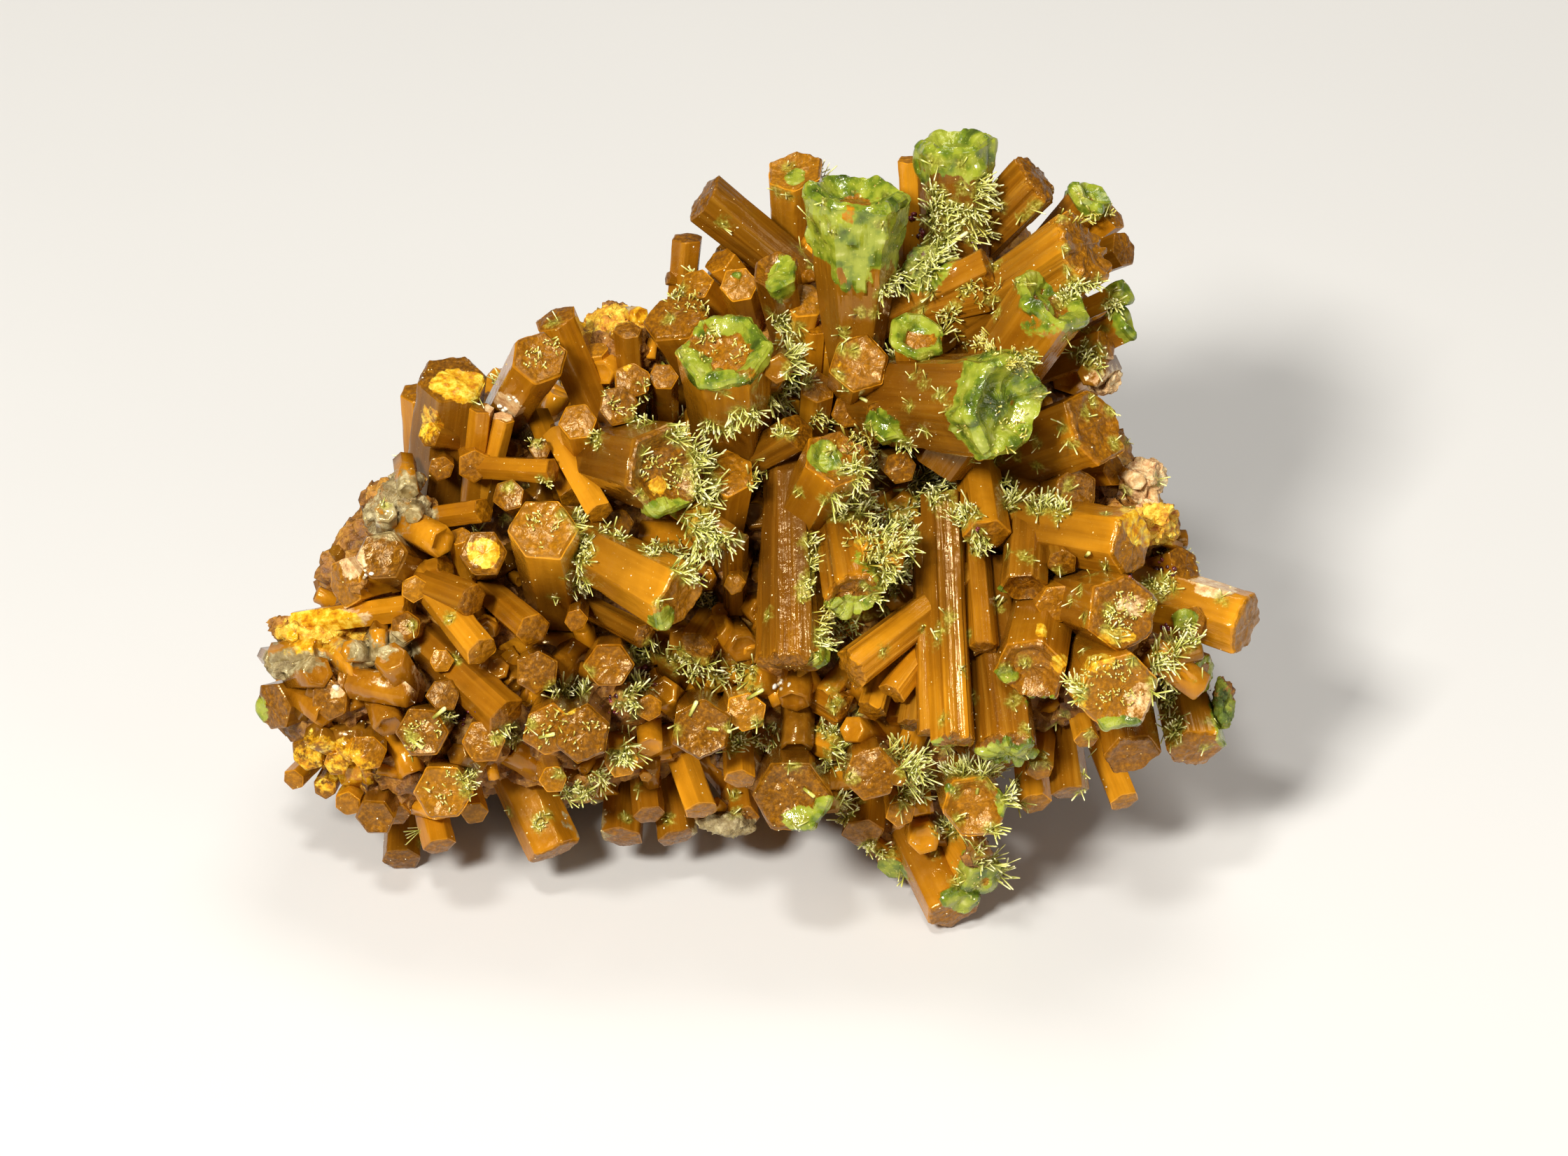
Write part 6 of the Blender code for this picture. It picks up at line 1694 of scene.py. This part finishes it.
def growth_colours(tree, base, place, look):
    """Green, yellow, pale and grey growth laid over a base colour where the carried values say."""
    lump = noise(tree, place, 1100.0, 3.0, 0.5)
    fine = noise(tree, place, 6500.0, 2.0, 0.6)
    greens = colours(
        tree,
        lump,
        (
            (0.30, shade_of(56, 70, 14)),
            (0.43, shade_of(96, 114, 24)),
            (0.53, (*look.green, 1.0)),
            (0.66, shade_of(156, 162, 54)),
            (0.80, shade_of(208, 206, 128)),
        ),
    )
    greens = blend(tree, between(tree, fine, 0.62, 0.76, 0.0, 0.7), greens, shade_of(218, 208, 112))
    yellows = colours(
        tree,
        noise(tree, place, 2400.0, 4.0, 0.65),
        ((0.36, shade_of(176, 104, 14)), (0.50, (*look.yellow, 1.0)), (0.68, shade_of(242, 214, 84))),
    )
    crumbs = noise(tree, place, 2600.0, 4.0, 0.7)
    pales = run_of(tree, crumbs, (0.30, 170, 112, 66), (0.52, 216, 176, 120), (0.72, 240, 226, 180))
    smoke = noise(tree, place, 1900.0, 4.0, 0.65)
    greys = run_of(tree, smoke, (0.28, 96, 74, 34), (0.50, 150, 130, 84), (0.72, 214, 200, 152))
    ragged = sums(tree, "MULTIPLY", sums(tree, "SUBTRACT", crumbs, 0.5), 1.35)
    for name, tint in (("grey", greys), ("pale", pales), ("yellow", yellows), ("green", greens)):
        amount = sums(tree, "ADD", carried_value(tree, name), ragged)
        base = blend(tree, between(tree, amount, 0.30, 0.58), base, tint)
    moss_amount = sums(tree, "ADD", carried_value(tree, "moss"), ragged)
    moss_amount = between(tree, moss_amount, 0.35, 0.85)
    moss = run_of(tree, fine, (0.35, 104, 92, 22), (0.52, 146, 142, 46), (0.68, 206, 198, 96))
    return blend(tree, sums(tree, "MULTIPLY", moss_amount, 0.75), base, moss)


def crystal_finish(look):
    """Ochre pyromorphite: resinous, streaked along the prism, gritty over the end."""
    material, tree, shader, place = new_finish("ochre_pyromorphite")
    grain = carried_value(tree, "grain", "Vector")
    tone = carried_value(tree, "tone")
    worn = carried_value(tree, "worn")
    depth = carried_value(tree, "depth")
    rib = carried_value(tree, "rib")
    streak = noise(tree, stretched(tree, grain, (3.4, 3.4, 0.12)), 1.0, 3.0, 0.55)
    broad = noise(tree, stretched(tree, grain, (1.3, 1.3, 0.35)), 1.0, 2.0, 0.5)
    cloud = noise(tree, place, 520.0, 3.0, 0.6, 0.4)
    fine = noise(tree, place, 5200.0, 3.0, 0.65)
    grit = noise(tree, place, 13000.0, 2.0, 0.6)

    hue = weighed(tree, (tone, 0.42), (cloud, 0.34), (broad, 0.30))
    base = colours(
        tree,
        hue,
        (
            (0.28, shade_of(112, 68, 8)),
            (0.45, shade_of(152, 92, 10)),
            (0.60, (*look.ochre, 1.0)),
            (0.78, shade_of(220, 148, 28)),
        ),
    )
    shaded = between(tree, tone, 0.10, 0.55, 0.62, 0.0)
    base = blend(tree, shaded, base, shade_of(104, 66, 10))
    streaks = run_of(tree, streak, (0.36, 104, 60, 4), (0.50, 170, 108, 12), (0.64, 220, 156, 44))
    ribbed = sums(tree, "ADD", 0.10, sums(tree, "MULTIPLY", rib, 0.55))
    base = blend(tree, sums(tree, "MULTIPLY", sums(tree, "SUBTRACT", 1.0, worn), ribbed), base, streaks)
    # Painted shade in the rib grooves: the deeper the groove is cut, the darker the ochre.
    base = blend(tree, sums(tree, "MULTIPLY", rib, 0.35), base, shade_of(120, 66, 6))
    # Painted shade: darker brown down the sides towards the root, and over the sides of thick prisms.
    deep = between(tree, depth, 0.05, 1.0, 0.0, 0.72)
    base = blend(tree, deep, base, shade_of(90, 52, 8))
    ends = run_of(tree, fine, (0.34, 78, 44, 2), (0.50, 114, 68, 3), (0.66, 158, 102, 10))
    base = blend(tree, sums(tree, "MULTIPLY", worn, 0.72), base, ends)
    # Pale speckles, partly dust and partly painted glints that stand in for sparkle.
    dust = between(tree, grit, 0.69, 0.76, 0.0, 0.45)
    base = blend(tree, dust, base, shade_of(232, 190, 92))
    base = growth_colours(tree, base, place, look)
    connect(tree, base, shader, "Base Color")

    rough = between(tree, noise(tree, place, 1400.0, 4.0, 0.6), 0.30, 0.72, 0.08, 0.24)
    green = carried_value(tree, "green")
    bare = sums(tree, "SUBTRACT", 1.0, green)
    rough = sums(tree, "ADD", rough, sums(tree, "MULTIPLY", sums(tree, "MULTIPLY", worn, bare), 0.15))
    connect(tree, rough, shader, "Roughness")
    shader.inputs["IOR"].default_value = look.lustre
    shader.inputs["Specular IOR Level"].default_value = 0.42
    sheen = blend(tree, green, (0.88, 0.66, 0.36, 1.0), (1.0, 0.98, 0.84, 1.0))
    connect(tree, sheen, shader, "Specular Tint")

    ridges = sums(tree, "MULTIPLY", streak, sums(tree, "ADD", 0.15, rib))
    normal = bumped(tree, ridges, 0.00016, 0.7)
    waves = sums(tree, "ADD", between(tree, worn, 0.0, 1.0, 0.25, 1.0), sums(tree, "MULTIPLY", rib, 0.35))
    facets = sums(tree, "MULTIPLY", noise(tree, place, 2300.0, 3.0, 0.55), waves)
    normal = bumped(tree, facets, 0.00012, 0.6, normal)
    connect(tree, normal, shader, "Normal")
    return material


def matrix_finish(look):
    """Gossan: brown, porous and crusted, with yellow ochre, pale crust and smoky quartz."""
    material, tree, shader, place = new_finish("gossan_matrix")
    cloud = noise(tree, place, 330.0, 5.0, 0.65, 0.6)
    fine = noise(tree, place, 2600.0, 4.0, 0.7)
    pores = add_node(tree, "ShaderNodeTexVoronoi", {"Vector": place, "Scale": 1500.0}).outputs["Distance"]
    base = colours(
        tree,
        cloud,
        (
            (0.36, shade_of(50, 30, 8)),
            (0.44, shade_of(108, 66, 12)),
            (0.51, (*look.rock, 1.0)),
            (0.58, shade_of(190, 132, 34)),
            (0.67, shade_of(214, 172, 86)),
        ),
    )
    rust = run_of(tree, fine, (0.36, 76, 42, 8), (0.51, 156, 98, 20), (0.66, 212, 156, 58))
    base = blend(tree, 0.40, base, rust)
    # Painted shade in the pores: darker where the bump dips.
    base = blend(tree, between(tree, pores, 0.0, 0.28, 0.65, 0.0), base, shade_of(52, 32, 14))
    base = growth_colours(tree, base, place, look)
    connect(tree, base, shader, "Base Color")
    rough = between(tree, fine, 0.30, 0.70, 0.42, 0.82)
    connect(tree, rough, shader, "Roughness")
    shader.inputs["IOR"].default_value = 1.55
    normal = bumped(tree, cloud, 0.0005, 0.5)
    normal = bumped(tree, pores, 0.00018, 0.6, normal)
    normal = bumped(tree, fine, 0.00022, 0.7, normal)
    connect(tree, normal, shader, "Normal")
    return material


def needle_finish(look):
    """Pale green needles, darker at the foot and creamy at the tip."""
    material, tree, shader, place = new_finish("needle_pyromorphite")
    along = carried_value(tree, "along")
    tone = carried_value(tree, "tone")
    yellow = carried_value(tree, "yellow")
    mottle = sums(tree, "MULTIPLY", sums(tree, "SUBTRACT", noise(tree, place, 4000.0, 2.0), 0.5), 0.5)
    climb = sums(tree, "ADD", weighed(tree, (along, 0.56), (tone, 0.36)), mottle)
    greens = colours(
        tree,
        climb,
        (
            (0.05, shade_of(138, 138, 44)),
            (0.30, shade_of(184, 186, 78)),
            (0.58, (*look.needle, 1.0)),
            (0.88, shade_of(250, 246, 196)),
        ),
    )
    yellows = run_of(
        tree,
        climb,
        (0.05, 136, 110, 26),
        (0.40, 188, 170, 60),
        (0.70, 222, 212, 110),
        (0.95, 242, 236, 176),
    )
    base = blend(tree, between(tree, yellow, 0.30, 0.75), greens, yellows)
    connect(tree, base, shader, "Base Color")
    connect(tree, between(tree, tone, 0.0, 1.0, 0.16, 0.34), shader, "Roughness")
    shader.inputs["IOR"].default_value = look.lustre
    normal = bumped(tree, noise(tree, place, 16000.0, 2.0), 0.00001, 0.6)
    connect(tree, normal, shader, "Normal")
    return material


def grain_finish(name, run, roughness, ior):
    """Small grains, each its own tone from a run of colours."""
    material, tree, shader, place = new_finish(name)
    tone = carried_value(tree, "tone")
    mottle = noise(tree, place, 9000.0, 2.0)
    value = weighed(tree, (tone, 0.75), (mottle, 0.25))
    connect(tree, run_of(tree, value, *run), shader, "Base Color")
    connect(tree, between(tree, mottle, 0.3, 0.7, roughness * 0.7, roughness * 1.3), shader, "Roughness")
    shader.inputs["IOR"].default_value = ior
    return material


def floor_finish(look):
    """A pale matt table with the faintest mottling."""
    material, tree, shader, place = new_finish("pale_table")
    mottle = noise(tree, place, 14.0, 4.0, 0.5)
    pale = tuple(value * 0.96 for value in look.table)
    base = colours(tree, mottle, ((0.3, (*pale, 1.0)), (0.7, (*look.table, 1.0))))
    connect(tree, base, shader, "Base Color")
    shader.inputs["Roughness"].default_value = 0.62
    return material


def soft_light(name, place, size, power, colour):
    data = bpy.data.lights.new(name, "AREA")
    data.shape = "RECTANGLE"
    data.size, data.size_y = size
    data.energy = power
    data.color = colour
    lamp = placed(name, data)
    lamp.location = place
    lamp.rotation_euler = (Vector(place) - Vector(LIGHT_AIM)).to_track_quat("Z", "Y").to_euler()


def add_camera():
    """The camera squares up to the crystal face, as far off as the specimen was seen from."""
    eye = on_table(0.0, 0.0, SHARP_OUT + VIEW_DISTANCE)
    target = on_table(0.0, 0.0, 0.0)
    back = (eye - target).normalized()
    right = Vector((1.0, 0.0, 0.0))
    data = bpy.data.cameras.new("front_view")
    camera = placed("front_view", data)
    turned = Matrix((right, back.cross(right), back)).transposed().to_4x4()
    camera.matrix_world = Matrix.Translation(eye) @ turned
    data.sensor_width = FRAME_SENSOR
    data.lens = FRAME_SENSOR * VIEW_DISTANCE / FRAME_WIDTH
    data.clip_start = 0.01
    data.clip_end = 10.0
    bpy.context.scene.camera = camera


def colour_choice(name, description, red, green, blue):
    """A colour property whose default is a colour as the eye names it."""
    return FloatVectorProperty(
        name=name,
        description=description,
        default=shade_of(red, green, blue)[:3],
        min=0.0,
        max=1.0,
        subtype="COLOR",
    )


class SpecimenLook(bpy.types.PropertyGroup):
    """Colours and lustre of the growths."""

    ochre: colour_choice("Ochre", "Main colour of the stout prisms", 180, 116, 14)
    green: colour_choice("Green overgrowth", "Main colour of the waxy growth over the ends", 140, 148, 38)
    needle: colour_choice("Needles", "Main colour of the needle sprays", 222, 220, 124)
    yellow: colour_choice("Yellow crust", "Main colour of the yellow ochre crust", 214, 160, 26)
    rock: colour_choice("Matrix", "Main colour of the rock that the crystals grew on", 152, 98, 22)
    table: colour_choice("Table", "Colour of the table it stands on", 216, 214, 210)
    lustre: FloatProperty(
        name="Lustre",
        description="Index of refraction of the crystals, which sets how brightly they shine",
        default=1.66,
        min=1.3,
        max=2.4,
    )


class SpecimenSizes(bpy.types.PropertyGroup):
    """Sizes and counts of the growths."""

    voxel: FloatProperty(
        name="Rock grain",
        description="How finely the matrix rock is modelled",
        default=0.28 * MM,
        min=0.1 * MM,
        max=2.0 * MM,
        precision=5,
        unit="LENGTH",
    )
    crag: FloatProperty(
        name="Rock relief",
        description="How far the matrix rock is broken up",
        default=0.60 * MM,
        min=0.0,
        max=2.0 * MM,
        precision=5,
        unit="LENGTH",
    )
    needle_width: FloatProperty(
        name="Needle width, mm",
        description="Usual thickness of a needle in millimetres",
        default=0.068,
        min=0.03,
        max=0.4,
    )
    needle_length: FloatProperty(
        name="Needle length",
        description="Length of the needles as a share of what they measure",
        default=1.0,
        min=0.2,
        max=3.0,
        subtype="FACTOR",
    )
    spray_density: FloatProperty(
        name="Spray density",
        description="Number of sprays as a share of those counted",
        default=1.90,
        min=0.1,
        max=3.0,
        subtype="FACTOR",
    )
    stray_needles: IntProperty(
        name="Stray needles",
        description="Single needles dusted over the crystal face",
        default=420,
        min=0,
        max=2000,
    )
    small_prisms: IntProperty(
        name="Small prisms",
        description="Small crystals in front, in the gaps. Those of the sides and back follow it",
        default=170,
        min=0,
        max=3000,
    )
    # Pale dust grains, partly painted glints that stand in for sparkle.
    dust: IntProperty(
        name="Bright grains",
        description="Dust-fine grains that catch the light",
        default=1000,
        min=0,
        max=6000,
    )


GROWN = {"crystals": [], "matrix": []}


class PYROMORPHITE_OT_matrix(bpy.types.Operator):
    """Lay the matrix rock and its crusts"""

    bl_idname = "pyromorphite.matrix"
    bl_label = "Lay matrix"

    def execute(self, context):
        sizes = context.scene.specimen_sizes
        finish = matrix_finish(context.scene.specimen_look)
        GROWN["matrix"] = lay_matrix(sizes.voxel, sizes.crag)
        for rock in GROWN["matrix"]:
            settle(rock, finish)
        return {"FINISHED"}


class PYROMORPHITE_OT_crystals(bpy.types.Operator):
    """Grow the stout prisms, group by group"""

    bl_idname = "pyromorphite.crystals"
    bl_label = "Grow crystals"

    def execute(self, context):
        finish = crystal_finish(context.scene.specimen_look)
        GROWN["crystals"] = grow_all_crystals()
        for piece in GROWN["crystals"]:
            settle(piece, finish)
        return {"FINISHED"}


class PYROMORPHITE_OT_small_growth(bpy.types.Operator):
    """Grow the small prisms, the needle sprays and the grains"""

    bl_idname = "pyromorphite.small_growth"
    bl_label = "Grow prisms, needles and grains"

    def execute(self, context):
        look = context.scene.specimen_look
        sizes = context.scene.specimen_sizes
        standing = GROWN["matrix"] + GROWN["crystals"]
        if not standing:
            raise RuntimeError("the small growth needs the matrix and the crystals first")
        finish = bpy.data.materials["ochre_pyromorphite"]
        ground = Ground(standing)
        prisms = grow_small_prisms(ground, sizes.small_prisms, finish)
        ground = Ground(standing + [prisms])
        needles = needle_finish(look)
        sprays = find_needles(ground, sizes.spray_density, sizes.needle_length, sizes.needle_width)
        strays = find_stray_needles(ground, sizes.stray_needles, sizes.needle_width)
        grow_needles("needle_sprays", sprays, needles)
        grow_needles("stray_needles", strays, needles)
        carry_moss(standing + [prisms], sprays["feet"] + strays["feet"])
        grow_grains(ground, sizes.dust)
        return {"FINISHED"}


class PYROMORPHITE_OT_stage(bpy.types.Operator):
    """Set the table, the light and the camera"""

    bl_idname = "pyromorphite.stage"
    bl_label = "Set the stage"

    def execute(self, context):
        deselect_all()
        bpy.ops.mesh.primitive_plane_add(size=3.0, location=(0.0, 0.6, 0.0))
        table = context.object
        table.name = "table_top"
        bpy.ops.object.transform_apply(location=True, rotation=True, scale=True)
        table.data.materials.append(floor_finish(context.scene.specimen_look))
        for light in LIGHTS:
            soft_light(*light)
        world = bpy.data.worlds.new("studio")
        context.scene.world = world
        world.use_nodes = True
        background = world.node_tree.nodes["Background"]
        background.inputs["Color"].default_value = WORLD_COLOUR
        background.inputs["Strength"].default_value = WORLD_STRENGTH
        context.scene.view_settings.view_transform = "Standard"
        add_camera()
        return {"FINISHED"}


class PYROMORPHITE_PT_panel(bpy.types.Panel):
    """Lists the growths in the order in which they are made"""

    bl_idname = "PYROMORPHITE_PT_panel"
    bl_label = "Pyromorphite"
    bl_space_type = "VIEW_3D"
    bl_region_type = "UI"
    bl_category = "Pyromorphite"

    def draw(self, context):
        layout = self.layout
        look = context.scene.specimen_look
        for name in ("ochre", "green", "needle", "yellow", "rock", "table", "lustre"):
            layout.prop(look, name)
        sizes = context.scene.specimen_sizes
        for name in ("voxel", "crag", "needle_width", "needle_length", "spray_density"):
            layout.prop(sizes, name)
        for name in ("stray_needles", "small_prisms", "dust"):
            layout.prop(sizes, name)
        for operator in OPERATORS:
            layout.operator(operator.bl_idname)


OPERATORS = (
    PYROMORPHITE_OT_matrix,
    PYROMORPHITE_OT_crystals,
    PYROMORPHITE_OT_small_growth,
    PYROMORPHITE_OT_stage,
)
CLASSES = (SpecimenLook, SpecimenSizes, *OPERATORS, PYROMORPHITE_PT_panel)


def register():
    for item in CLASSES:
        bpy.utils.register_class(item)
    bpy.types.Scene.specimen_look = PointerProperty(type=SpecimenLook)
    bpy.types.Scene.specimen_sizes = PointerProperty(type=SpecimenSizes)


def unregister():
    del bpy.types.Scene.specimen_sizes
    del bpy.types.Scene.specimen_look
    for item in reversed(CLASSES):
        bpy.utils.unregister_class(item)


def main():
    register()
    bpy.ops.pyromorphite.matrix()
    bpy.ops.pyromorphite.crystals()
    bpy.ops.pyromorphite.small_growth()
    bpy.ops.pyromorphite.stage()


if __name__ == "__main__":
    main()
